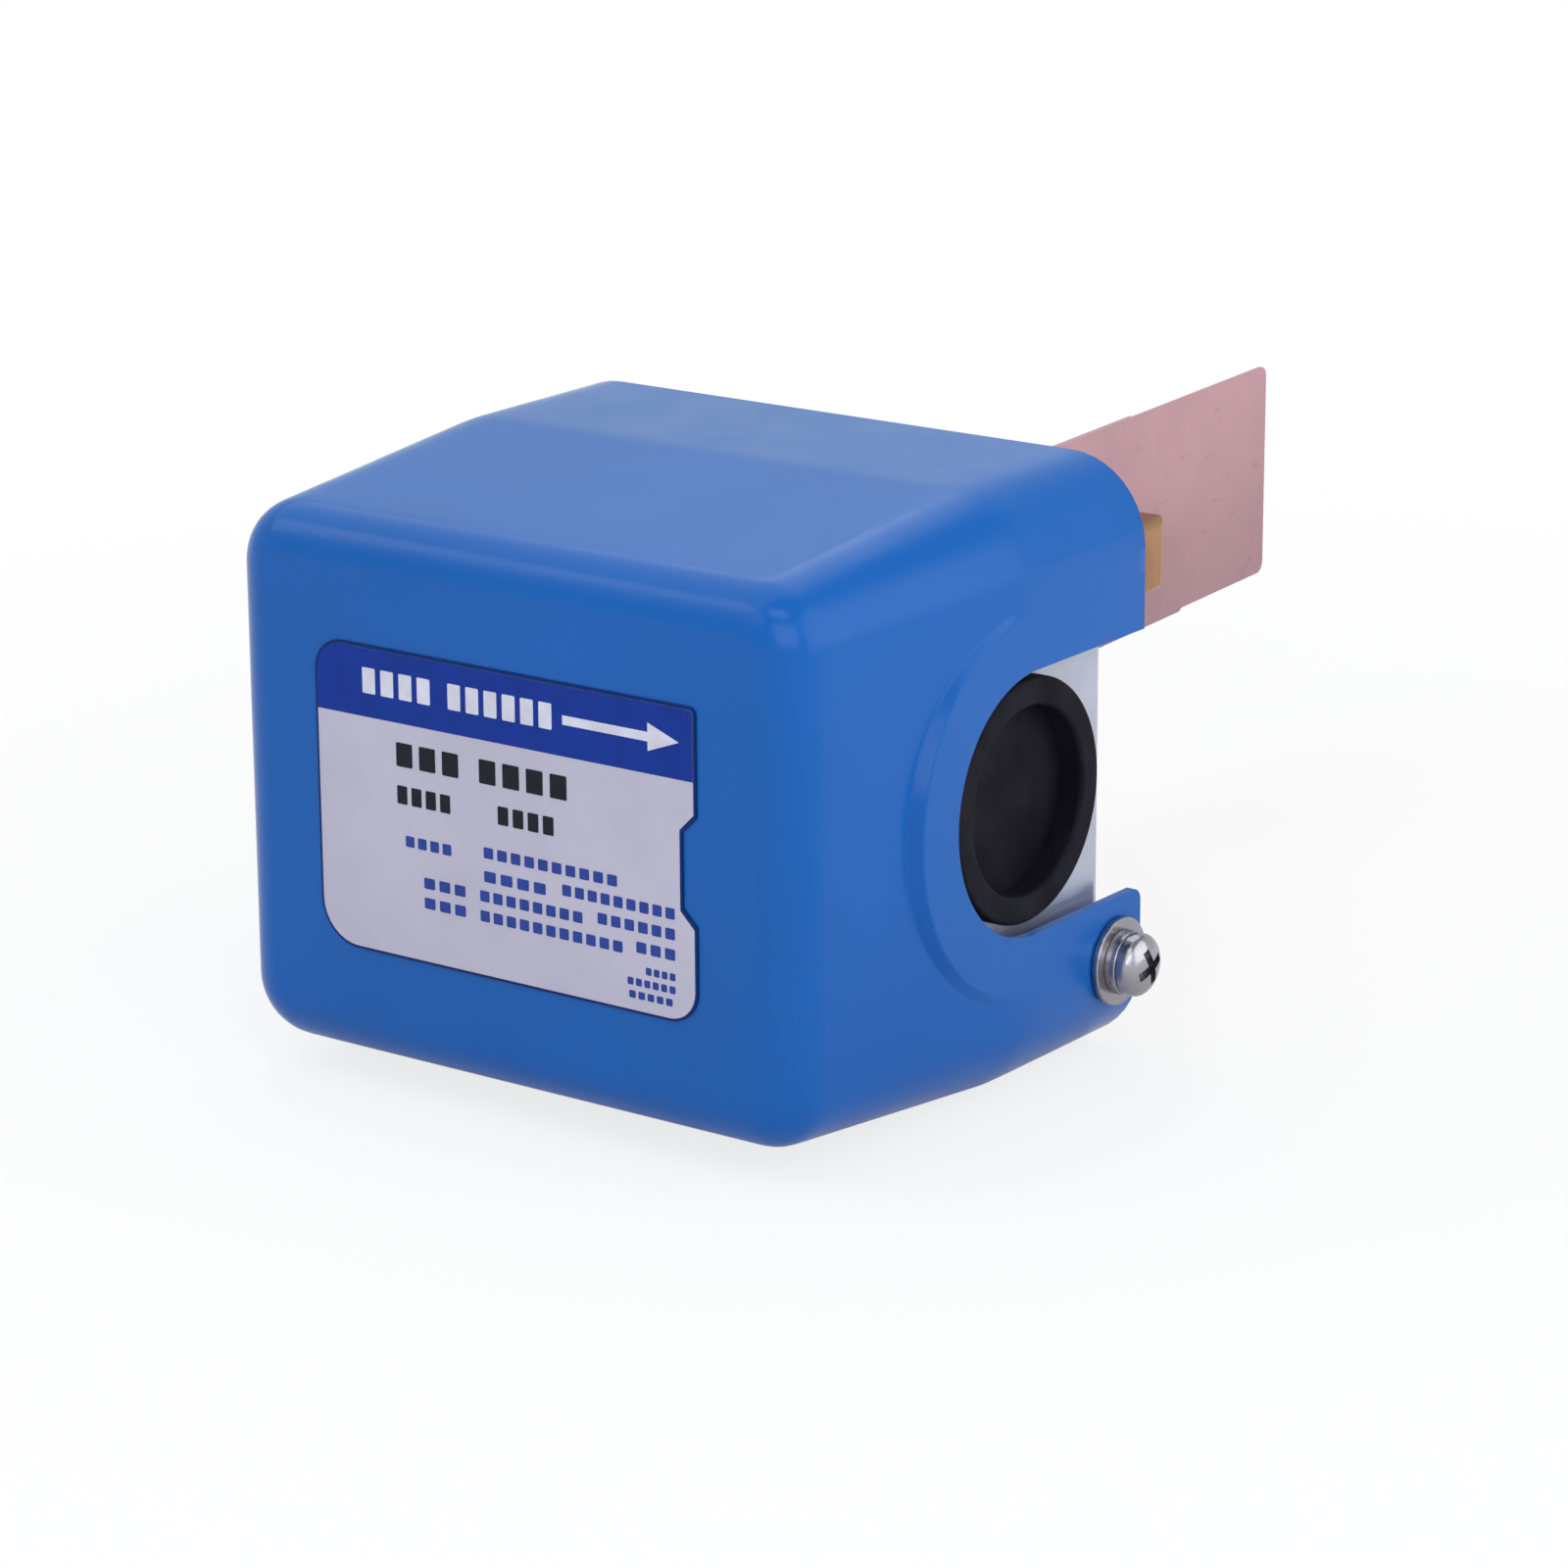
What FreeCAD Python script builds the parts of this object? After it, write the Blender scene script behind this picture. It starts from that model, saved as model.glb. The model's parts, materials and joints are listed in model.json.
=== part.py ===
"""Paddle flow switch: a drawn steel cover over a snap switch, on a brass pipe thread.

Row frame, millimetres: +X is the flow direction, +Y the stem axis from the cover's
label face towards the paddles, +Z up. The origin is the centre of the hexagon's
shoulder, where the pipe thread begins.
"""
import FreeCAD, Part
import math
import os

V = FreeCAD.Vector
X, Y, Z = V(1, 0, 0), V(0, 1, 0), V(0, 0, 1)
LEVEL = 1e-6                 # edges this close count as level
PAST = 1.0                   # cutters run this far past what they cut

# ---- driving dimensions -------------------------------------------------------
SHEET = 1.6                  # bracket, yoke and switch bracket sheet

COVER_WIDTH = 80.5           # along X at the open end
COVER_HEIGHT = 66.0          # along Z at the open end
COVER_DEPTH = 60.0           # along Y
COVER_WALL = 1.0
COVER_OFFSET = 5.5           # cover's middle from the stem axis, along X
COVER_STRAIGHT = 22.5        # straight part, from the open end to the crease
TAPER_X = 3.0                # each side wall leans in this much at the label face
TAPER_Z = 3.4                # same for the top and bottom walls
COVER_CORNER_REAR = 9.6      # corner radius from the crease to the open end
COVER_CORNER_FRONT = 6.6
COVER_EDGE = 5.0             # rounding round the label face
COVER_REAR = -10.0           # open end, along Y
COVER_SLOT_GAP = 0.25        # slot's edge to its screw

SLOT_RADIUS = 14.5           # U slot round the cable grommet
SLOT_REACH = 20.7            # from the open end to the slot's round end's centre
SLOT_CORNER = 1.5            # rounding of the slot's lower corner at the open end
BOSS_RADIUS = 20.8           # flat pressed round the slot
BOSS_SLOPE = 1.4             # how far the boss's rim spreads as it meets the wall
BOSS_SINK = 4.0

LABEL_WIDTH, LABEL_HEIGHT = 50.4, 33.8
LABEL_THICK = 0.3
LABEL_CORNERS = (0.8, 3.6, 5.0, 3.6)  # right-top, left-top, left-bottom, right-bottom
LABEL_NOTCH_TOP = 11.6       # from the label's top edge down to the notch
LABEL_NOTCH_LENGTH = 11.6
LABEL_NOTCH_DEPTH = 1.8      # the notch's ends slant at 45 degrees

BASE_REAR = -13.0            # rear face of the bracket's base
BASE_GAP = 0.55              # base to the cover's inside
ARM_WIDTH = 34.0             # grommet arm, along Z
ARM_REACH, ARM_TIP = 40.0, 6.0   # grommet arm, forward from the base's rear face
ARM_OVERLAP = 0.8            # base runs this far under the arm's bend
BEND_RADIUS = 2.2
BEND_FOOT = 4.8              # flat behind a bend that lies inside the base

GROMMET_RADIUS = 13.4
GROMMET_FLANGE = 2.0
GROMMET_HOLE = 11.1          # conduit hole in the bracket
GROMMET_INNER_RADIUS = 12.8
GROMMET_RECESS_RADIUS = 10.3
GROMMET_RECESS = 3.0
GROMMET_MEMBRANE = 1.0
GROMMET_PROUD = 0.9          # flange's face below the cover's outer face
GROMMET_INNER_FLANGE = 1.6
GROMMET_EDGE = 0.5           # rounding of the flange's rims
GROMMET_NECK_GAP = 0.05
GROMMET_BACK_LEDGE = 0.8     # back recess is this much smaller in radius

COVER_SCREW_UP = 11.4        # cover screws above the cover's bottom
COVER_SCREW_REACH = 5.0      # from the cover's open end
TAB_UP, TAB_DOWN = 4.4, 3.6  # tab's edges from its screw
TAB_CORNER = 1.2
TAB_REACH, TAB_TIP = 9.0, 2.0
TAB_GAP = 0.1                # tab and washer to the cover's wall

M4, M3 = 2.0, 1.5            # screw radii
HEAD_WIDE, HEAD_TALL = 1.75, 1.3     # pan head's radius and height, in screw radii
HEAD_DOME = 0.55             # share of the head's height that is rounded
CROSS_REACH, CROSS_WIDE = 0.95, 0.36     # cross recess, in screw radii
CROSS_FLOOR = 0.42           # recess's floor, as a share of the head's height
SCREW_CLEARANCE = 0.05
SCREW_END = 1.5              # screw past its thread's plate
HOLE_GAP = 0.2               # clearance hole to its M4 screw
WASHER_GAP = 0.15
SMALL_WASHER_RADIUS, SMALL_WASHER_THICK = 3.6, 0.8
FLAT_WASHER_RADIUS, FLAT_WASHER_THICK = 4.9, 0.8
SPRING_WASHER_RADIUS, SPRING_WASHER_THICK = 3.6, 1.3
SPRING_WASHER_SPLIT, SPRING_WASHER_SLANT = 0.9, 30.0
SPRING_WASHER_GAP = 0.1

THREAD_RADIUS = 16.62        # 1 inch pipe thread, at its crests
THREAD_LENGTH = 20.0
THREAD_PITCH, THREAD_DEPTH = 2.309, 1.479
THREAD_HALF_ANGLE = 27.5     # degrees; half of the pipe thread's 55
THREAD_CHAMFER = 1.2
HEX_FLATS = 36.0
HEX_CHAMFER = 1.2
GASKET_THICK = 1.0
BORE_RADIUS = 9.0            # water side
CHAMBER_RADIUS = 10.6        # round the bellows
CHAMBER_END = 7.0
BODY_SCREW_CIRCLE = 14.0
BODY_SCREW_DEPTH = 9.0       # tapped holes in the hexagon
BODY_SCREW_SPARE = 2.0       # hole left empty past the screw's end
BODY_SCREW_COUNT = 4

PIVOT_Y = -20.0              # paddle arm's pivot
REST_LEAN = 4.2              # degrees; the arm leans upstream at rest and as far downstream
PIN_RADIUS = 1.5
PIN_HEAD_RADIUS, PIN_HEAD = 2.5, 1.0
PIN_END = 2.2                # pin below the lower ear
PIN_GROOVE_TOP, PIN_GROOVE_LOW, PIN_GROOVE_DEPTH = 0.1, 1.0, 0.3
CLIP_RADIUS, CLIP_THICK = 3.0, 0.7
CLIP_GAP = 0.1               # clip to the groove's sides
CLIP_MOUTH = 1.8
RUNNING_GAP = 0.05
HUB_RADIUS, HUB_HEIGHT = 4.4, 11.0
EAR_GAP = 0.4
EAR_WIDTH = 10.0
YOKE_REACH = 7.0             # pivot to the yoke's bridge
YOKE_FLANGE_RADIUS = 18.0
YOKE_LIP = 1.5               # flange's window inside the chamber's edge
STOP_GAP = 0.1
BRIDGE_WINDOW_GAP = 0.5      # bridge's window above and below the tongue

ROD_RADIUS = 4.0
TANG_HEIGHT, TANG_THICK, TANG_LENGTH = 9.4, 6.0, 30.0
TANG_EDGE = 1.2
TANG_SCREW_FLOOR = 1.5       # tapped holes stop this far inside the tang's face
TANG_SCREW_SPARE = 0.3
TANG_DROP = 0.9              # the flattened end sits this far below the rod's axis
ARM_END = 73.3               # paddle end of the arm, along Y before it leans
COLLAR_RADIUS, COLLAR_LENGTH, COLLAR_Y = 6.2, 1.6, 5.0
BELLOWS_RADIUS, BELLOWS_ROOT, BELLOWS_TURNS = 8.6, 7.0, 6
BELLOWS_WALL = 0.4
BELLOWS_PROFILE = ((0, 0), (0.25, 0), (0.35, 1), (0.75, 1), (0.85, 0))  # (share of a pitch, 1 at the crest)
BELLOWS_GAP = 0.6            # end of the bellows to the leaning collar
RING_THICK = 1.0
RING_BORE = 6.4

TONGUE_THICK, TONGUE_HEIGHT, TONGUE_LENGTH = 3.0, 8.0, 16.0
LEVER_THICK, LEVER_LENGTH = 1.5, 26.0
LEVER_CORNER = 2.5
LEVER_START = 0.8            # lever's rear end, in front of the yoke's bridge
LEVER_SCREW_START, LEVER_SCREW_STEP = 10.3, 5.5      # from the pivot
LEVER_SCREW_SHORT = 0.4      # screw ends inside the tongue

PADDLE_WIDTH = 27.7
PADDLE_THICK = 0.4
PADDLE_START = 46.0
PADDLE_TIPS = {"paddle_long": 112.0, "paddle_medium": 90.5, "paddle_short": 78.0}
PADDLE_SHIFTS = {"paddle_long": 0.0, "paddle_medium": -0.6, "paddle_short": -0.2}
PADDLE_RAISE = 1.45          # paddles sit a little above the arm
PADDLE_CORNER = 1.5
PADDLE_SCREWS = (53.0, 64.0)

SWITCH_GAP_X = 6.5           # stem axis to the switch's plunger face
SWITCH_DEPTH, SWITCH_THICK, SWITCH_LENGTH = 18.0, 17.5, 49.0
SWITCH_BACK = -24.5          # rear face of the switch, on its bracket
SWITCH_SCREW_SPREAD = 25.4
SWITCH_LID = 3.0
SWITCH_CORNER, SWITCH_LID_EDGE = 1.5, 0.6
SWITCH_SCREW_SHARE = 0.55    # screws' place across the case
SWITCH_HOLE_GAP = 0.1
PLUNGER_RADIUS = 2.0
PLUNGER_ARM = 14.0           # pivot to the plunger
PLUNGER_GAP = 0.12
PLUNGER_STROKE = 2.1
PLUNGER_BURIED = 2.5
PLUNGER_TIP = 1.0            # rounding of its end
SWITCH_LEG_GAP = 0.4
TABLE_SETBACK = 0.5          # table's edge behind the plunger's face
FOOT_REACH, FOOT_INSET = 8.0, 7.5    # bracket's feet, turned in under the switch

TERMINAL_STEP, TERMINAL_WIDTH, TERMINAL_REACH = 17.0, 9.0, 10.0
TERMINAL_THICK = 1.2
TERMINAL_CORNER = 1.5
TERMINAL_SCREW_OUT = 5.2     # from the case to the screw
TERMINAL_Y = -37.0

SPRING_ARM = 27.0            # pivot to the range spring
SPRING_RADIUS, SPRING_WIRE, SPRING_TURNS = 4.6, 0.6, 7
SPRING_LENGTH = 16.0
SPRING_GAP = 0.05            # at each of the spring's ends
SEAT_RADIUS, SEAT_DEPTH, SEAT_FLOOR = 6.2, 5.0, 1.6
SEAT_BORE_GAP = 0.5
BUTTON_RADIUS, BUTTON_HEIGHT, BUTTON_EDGE = 3.0, 1.6, 0.6
BUTTON_GAP = 0.15            # spring's end to the lever
ADJUST_RADIUS = 2.5
ADJUST_ARM_X = -22.6         # outer face of the adjusting arm
ADJUST_ARM_WIDTH = 18.0
ADJUST_ARM_REACH, ADJUST_ARM_TIP = 42.0, 4.0
WINDOW_MARGIN = 4.0          # base left beside the window that the arm is bent out of
ADJUST_HEAD_RADIUS, ADJUST_HEAD, ADJUST_HEAD_EDGE = 4.0, 2.8, 0.5
ADJUST_HEAD_GAP = 0.1        # head to the bush once the screw is fully in
ADJUST_TIP_GAP = 0.05
DRIVER_SLOT = 1.0
ADJUST_STROKE = 3.2          # four turns of 0.8 mm pitch
BUSH_RADIUS, BUSH_NECK, BUSH_LENGTH = 5.0, 3.8, 4.0

EARTH_X, EARTH_Z = -18.0, 20.0

# ---- places worked out from them ----------------------------------------------
COVER_LEFT = COVER_OFFSET - COVER_WIDTH / 2
COVER_RIGHT = COVER_OFFSET + COVER_WIDTH / 2
COVER_FRONT = COVER_REAR - COVER_DEPTH
COVER_SCREW_HEIGHT = COVER_SCREW_UP - COVER_HEIGHT / 2
CREASE_Y = COVER_REAR - COVER_STRAIGHT
SLOT_Y = COVER_REAR - SLOT_REACH
COVER_SCREW_Y = COVER_REAR - COVER_SCREW_REACH

BASE_FRONT = BASE_REAR - SHEET
BASE_LEFT = COVER_LEFT + COVER_WALL + BASE_GAP
BASE_HALF = COVER_HEIGHT / 2 - COVER_WALL - BASE_GAP
FLANGE_FACE = COVER_RIGHT - GROMMET_PROUD
ARM_OUTER = FLANGE_FACE - GROMMET_FLANGE
ARM_INNER = ARM_OUTER - SHEET

HEX_FRONT = BASE_REAR + GASKET_THICK
YOKE_FACE = BASE_FRONT - SHEET
EAR_INNER = HUB_HEIGHT / 2 + EAR_GAP
BRIDGE_Y = PIVOT_Y - YOKE_REACH
SLOPE = math.tan(math.radians(REST_LEAN))

SWITCH_FRONT = SWITCH_BACK - SWITCH_THICK
PLUNGER_Y = PIVOT_Y - PLUNGER_ARM
SPRING_Y = PIVOT_Y - SPRING_ARM
LEVER_FACE = TONGUE_THICK / 2 + LEVER_THICK
SPRING_END_X = SPRING_ARM * SLOPE - LEVER_FACE / math.cos(math.radians(REST_LEAN)) - BUTTON_GAP
SEAT_X = SPRING_END_X - SPRING_LENGTH
BUSH_END = ADJUST_ARM_X - (BUSH_LENGTH - SHEET) / 2


# ---- plain shapes --------------------------------------------------------------
def block(x0, x1, y0, y1, z0, z1):
    return Part.makeBox(x1 - x0, y1 - y0, z1 - z0, V(x0, y0, z0))


def rod(radius, start, end):
    """Round bar between two points."""
    along = end - start
    return Part.makeCylinder(radius, along.Length, start, along)


def bore(radius, start, end):
    """Cutter for a round hole between two points, run past both."""
    past = (end - start).normalize() * PAST
    return rod(radius, start - past, end + past)


def ring(outer, inner, start, end):
    return rod(outer, start, end).cut(rod(inner, start, end))


def joined(shapes):
    first, rest = shapes[0], shapes[1:]
    return first.fuse(rest).removeSplitter() if rest else first


def without(shape, cutters):
    return shape.cut(Part.makeCompound(cutters))


def edges_where(shape, test):
    return [e for e in shape.Edges if test(e.BoundBox)]


def rounded_outline(x0, x1, z0, z1, radii, y):
    """Closed outline in the plane at y. radii: right-top, left-top, left-bottom, right-bottom."""
    corners = [(x1, z1, 1, 1), (x0, z1, -1, 1), (x0, z0, -1, -1), (x1, z0, 1, -1)]
    ends = []
    for (cx, cz, sx, sz), r in zip(corners, radii):
        on_side = V(cx, y, cz - sz * r)
        on_top = V(cx - sx * r, y, cz)
        mid = V(cx - sx * r * (1 - math.sqrt(0.5)), y, cz - sz * r * (1 - math.sqrt(0.5)))
        ends.append((on_side, mid, on_top) if sx == sz else (on_top, mid, on_side))
    edges = []
    for i, (start, mid, end) in enumerate(ends):
        edges.append(Part.Arc(start, mid, end).toShape())
        edges.append(Part.makeLine(end, ends[(i + 1) % 4][0]))
    return Part.Wire(edges)


def plate(x0, x1, z0, z1, y0, y1, radius):
    """Flat plate across Y with rounded corners."""
    outline = rounded_outline(x0, x1, z0, z1, [radius] * 4, y0)
    return Part.Face(outline).extrude(V(0, y1 - y0, 0))


# ---- fasteners ------------------------------------------------------------------
def place(shape, point, direction):
    """Turn a shape made along +Z so that it points along direction, at a point."""
    turn = FreeCAD.Rotation(Z, direction)
    moved = shape.copy()
    moved.Placement = FreeCAD.Placement(point, turn)
    return moved


def pan_screw(radius, length, point, direction):
    """Pan-head screw: head's seat at point, head pointing along direction."""
    head = radius * HEAD_TALL
    dome = Part.makeCylinder(radius * HEAD_WIDE, head)
    dome = dome.makeFillet(head * HEAD_DOME, edges_where(dome, lambda b: b.ZMin > head - LEVEL))
    shank = Part.makeCylinder(radius, length, V(0, 0, -length))
    reach, wide, floor = radius * CROSS_REACH, radius * CROSS_WIDE, head * CROSS_FLOOR
    cross = [Part.makeBox(2 * reach, wide, head, V(-reach, -wide / 2, floor)),
             Part.makeBox(wide, 2 * reach, head, V(-wide / 2, -reach, floor))]
    for cutter in cross:
        dome = dome.cut(cutter)
    return place(joined([dome, shank]), point, direction)


def flat_washer(radius, bore, thick, point, direction):
    return place(Part.makeCylinder(radius, thick).cut(Part.makeCylinder(bore, thick)), point, direction)


def spring_washer(radius, bore, thick, point, direction):
    """Split washer: a ring with a slanting gap."""
    body = Part.makeCylinder(radius, thick).cut(Part.makeCylinder(bore, thick))
    gap = Part.makeBox(radius * 2, SPRING_WASHER_SPLIT, thick * 4, V(0, -SPRING_WASHER_SPLIT / 2, -thick * 2))
    gap.rotate(V(0, 0, thick / 2), X, SPRING_WASHER_SLANT)
    return place(body.cut(gap), point, direction)


# ---- cover ------------------------------------------------------------------------
def cover_skin(inset):
    """Outside of the cover, or its inside where inset is the wall."""
    rear_radius = COVER_CORNER_REAR - inset
    front_radius = COVER_CORNER_FRONT - inset
    left, right = COVER_LEFT + inset, COVER_RIGHT - inset
    half = COVER_HEIGHT / 2 - inset
    front = COVER_FRONT + inset
    lean = (CREASE_Y - front) / (CREASE_Y - COVER_FRONT)
    dx, dz = TAPER_X * lean, TAPER_Z * lean
    mouth = rounded_outline(left, right, -half, half, [rear_radius] * 4, CREASE_Y)
    face = rounded_outline(left + dx, right - dx, -half + dz, half - dz, [front_radius] * 4, front)
    tapered = Part.makeLoft([face, mouth], True, True)
    rim = edges_where(tapered, lambda b: b.YMax < front + LEVEL)
    tapered = tapered.makeFillet(COVER_EDGE - inset, rim)
    straight = Part.Face(mouth).extrude(V(0, COVER_REAR - CREASE_Y, 0))
    boss = Part.makeCone(BOSS_RADIUS - inset + BOSS_SLOPE, BOSS_RADIUS - inset, BOSS_SINK,
                         V(right - BOSS_SINK, SLOT_Y, 0), X)
    return joined([tapered, straight, boss])


def cover():
    shell = cover_skin(0).cut(cover_skin(COVER_WALL))
    past = SLOT_Y + BOSS_RADIUS + BOSS_SLOPE + PAST
    near, far = COVER_RIGHT - BOSS_SINK, COVER_RIGHT + PAST
    slots = [rod(SLOT_RADIUS, V(near, SLOT_Y, 0), V(far, SLOT_Y, 0)),
             block(near, far, SLOT_Y, past, -SLOT_RADIUS, SLOT_RADIUS)]
    half, z = M4 + COVER_SLOT_GAP, COVER_SCREW_HEIGHT
    for near, far in ((COVER_LEFT, COVER_LEFT + COVER_WALL), (COVER_RIGHT - COVER_WALL, COVER_RIGHT)):
        slots.append(bore(half, V(near, COVER_SCREW_Y, z), V(far, COVER_SCREW_Y, z)))
        slots.append(block(near - PAST, far + PAST, COVER_SCREW_Y, past, z - half, z + half))
    for cutter in slots:
        shell = shell.cut(cutter)
    lip = edges_where(shell, lambda b: b.XMin > 0 and b.YMin > COVER_REAR - LEVEL
                      and abs(b.ZMin + SLOT_RADIUS) < LEVEL and abs(b.ZMax + SLOT_RADIUS) < LEVEL)
    return shell.makeFillet(SLOT_CORNER, lip)


def label_plate():
    left, right = COVER_OFFSET - LABEL_WIDTH / 2, COVER_OFFSET + LABEL_WIDTH / 2
    top, bottom = LABEL_HEIGHT / 2, -LABEL_HEIGHT / 2
    rear = COVER_FRONT
    foil = Part.Face(rounded_outline(left, right, bottom, top, LABEL_CORNERS, rear - LABEL_THICK))
    foil = foil.extrude(V(0, LABEL_THICK, 0))
    high = top - LABEL_NOTCH_TOP
    low = high - LABEL_NOTCH_LENGTH
    depth = LABEL_NOTCH_DEPTH
    outer, inner = right + PAST, right - depth
    y = rear - PAST
    notch = Part.makePolygon([V(outer, y, high + PAST), V(outer, y, low - PAST), V(inner, y, low + depth),
                              V(inner, y, high - depth), V(outer, y, high + PAST)])
    return foil.cut(Part.Face(notch).extrude(V(0, 2 * PAST, 0)))


# ---- bracket, grommet and cover screws -----------------------------------------------
def bent_strip(outer, side, reach, z0, z1, tip):
    """Strip bent forward out of the base. outer is its outside face, side the way that face looks."""
    inner = outer - side * SHEET
    low, high = sorted((inner, outer))
    front = BASE_REAR - reach
    upright = block(low, high, front, BASE_REAR, z0, z1)
    upright = upright.makeFillet(tip, edges_where(upright, lambda b: b.YMax < front + LEVEL
                                                  and b.XMax - b.XMin > SHEET / 2))
    low, high = sorted((inner - side * BEND_FOOT, outer))
    foot = block(low, high, BASE_FRONT, BASE_REAR, z0, z1)
    bend = joined([upright, foot])
    heel = edges_where(bend, lambda b: abs(b.XMax - outer) < LEVEL and abs(b.XMin - outer) < LEVEL
                       and b.YMin > BASE_REAR - LEVEL)
    bend = bend.makeFillet(BEND_RADIUS, heel)
    hollow = edges_where(bend, lambda b: abs(b.XMax - inner) < LEVEL and abs(b.XMin - inner) < LEVEL
                         and abs(b.YMin - BASE_FRONT) < LEVEL and abs(b.YMax - BASE_FRONT) < LEVEL)
    return bend.makeFillet(BEND_RADIUS - SHEET, hollow)


def mounting_bracket():
    tab_right = COVER_RIGHT - COVER_WALL - TAB_GAP
    tab_left = COVER_LEFT + COVER_WALL + TAB_GAP
    inboard = ARM_INNER - ARM_OVERLAP
    corner = COVER_CORNER_REAR - COVER_WALL
    base = plate(BASE_LEFT, inboard, -BASE_HALF, BASE_HALF, BASE_FRONT, BASE_REAR, corner)
    half = ARM_WIDTH / 2
    arm = bent_strip(ARM_OUTER, 1, ARM_REACH, -half, half, ARM_TIP)
    half = ADJUST_ARM_WIDTH / 2
    adjust_arm = bent_strip(ADJUST_ARM_X, -1, ADJUST_ARM_REACH, -half, half, ADJUST_ARM_TIP)
    window = block(BASE_LEFT + WINDOW_MARGIN, ADJUST_ARM_X, BASE_FRONT - PAST, BASE_REAR + PAST, -half, half)
    tabs = []
    for outer, side in ((tab_right, 1), (tab_left, -1)):
        low, high = COVER_SCREW_HEIGHT - TAB_DOWN, COVER_SCREW_HEIGHT + TAB_UP
        strip = bent_strip(outer, side, TAB_REACH, low, high, TAB_TIP)
        heel = edges_where(strip, lambda b: b.ZMax < low + LEVEL
                           and abs(b.XMax - outer) < LEVEL and abs(b.XMin - outer) < LEVEL)
        tabs.append(strip.makeChamfer(TAB_CORNER, heel))
    bracket = joined([base, arm] + tabs)
    bracket = joined([bracket.cut(window), adjust_arm])
    holes = [bore(GROMMET_HOLE, V(ARM_INNER, SLOT_Y, 0), V(ARM_OUTER, SLOT_Y, 0)),
             bore(BUSH_NECK, V(ADJUST_ARM_X, SPRING_Y, 0), V(ADJUST_ARM_X + SHEET, SPRING_Y, 0)),
             bore(CHAMBER_RADIUS, V(0, BASE_FRONT, 0), V(0, BASE_REAR, 0))]
    for x in (tab_left, tab_right - SHEET):
        holes.append(bore(M4 + SCREW_CLEARANCE, V(x, COVER_SCREW_Y, COVER_SCREW_HEIGHT),
                          V(x + SHEET, COVER_SCREW_Y, COVER_SCREW_HEIGHT)))
    for x, z in body_screw_places() + [(EARTH_X, EARTH_Z)]:
        holes.append(bore(M4 + SCREW_CLEARANCE, V(x, BASE_FRONT, z), V(x, BASE_REAR, z)))
    for x, z in foot_screw_places():
        holes.append(bore(M3 + SCREW_CLEARANCE, V(x, BASE_FRONT, z), V(x, BASE_REAR, z)))
    return without(bracket, holes)


def cable_grommet():
    """Blind rubber grommet: two flanges, a neck in the conduit hole and a membrane to pierce."""
    back_face = ARM_INNER - GROMMET_INNER_FLANGE
    membrane_face = FLANGE_FACE - GROMMET_RECESS

    def disc(radius, x0, x1):
        return rod(radius, V(x0, SLOT_Y, 0), V(x1, SLOT_Y, 0))

    flange = disc(GROMMET_RADIUS, ARM_OUTER, FLANGE_FACE)
    flange = flange.makeFillet(GROMMET_EDGE, edges_where(flange, lambda b: b.XMin > FLANGE_FACE - LEVEL))
    neck = disc(GROMMET_HOLE - GROMMET_NECK_GAP, back_face, ARM_OUTER)
    back = disc(GROMMET_INNER_RADIUS, back_face, ARM_INNER)
    body = joined([flange, neck, back])
    body = body.cut(disc(GROMMET_RECESS_RADIUS, membrane_face, FLANGE_FACE + PAST))
    back_radius = GROMMET_RECESS_RADIUS - GROMMET_BACK_LEDGE
    body = body.cut(disc(back_radius, back_face - PAST, membrane_face - GROMMET_MEMBRANE))
    widest = 2 * GROMMET_RECESS_RADIUS + LEVEL
    lip = edges_where(body, lambda b: b.XMin > FLANGE_FACE - LEVEL and b.YMax - b.YMin < widest)
    return body.makeFillet(GROMMET_EDGE, lip)


def cover_fasteners():
    """Screw, spring washer and flat washer on each side, outside the cover."""
    screws, springs, flats = [], [], []
    for wall, side in ((COVER_LEFT, -1), (COVER_RIGHT, 1)):
        out = V(side, 0, 0)
        seat = V(wall + side * TAB_GAP, COVER_SCREW_Y, COVER_SCREW_HEIGHT)
        on_flat = seat + out * FLAT_WASHER_THICK
        on_spring = on_flat + out * SPRING_WASHER_THICK
        flats.append(flat_washer(FLAT_WASHER_RADIUS, M4 + WASHER_GAP, FLAT_WASHER_THICK, seat, out))
        springs.append(spring_washer(SPRING_WASHER_RADIUS, M4 + SPRING_WASHER_GAP, SPRING_WASHER_THICK,
                                     on_flat, out))
        length = SPRING_WASHER_THICK + FLAT_WASHER_THICK + COVER_WALL + 2 * TAB_GAP + SHEET
        screws.append(pan_screw(M4, length, on_spring, out))
    return screws, springs, flats


# ---- brass body ---------------------------------------------------------------------------
def body_screw_places():
    step = 2 * math.pi / BODY_SCREW_COUNT
    return [(BODY_SCREW_CIRCLE * math.cos((i + 0.5) * step), BODY_SCREW_CIRCLE * math.sin((i + 0.5) * step))
            for i in range(BODY_SCREW_COUNT)]


def hexagon(flats, y0, y1):
    corner = flats / math.sqrt(3)
    points = [V(corner * math.cos(math.radians(60 * i + 30)), y0, corner * math.sin(math.radians(60 * i + 30)))
              for i in range(7)]
    return Part.Face(Part.makePolygon(points)).extrude(V(0, y1 - y0, 0))


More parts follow.
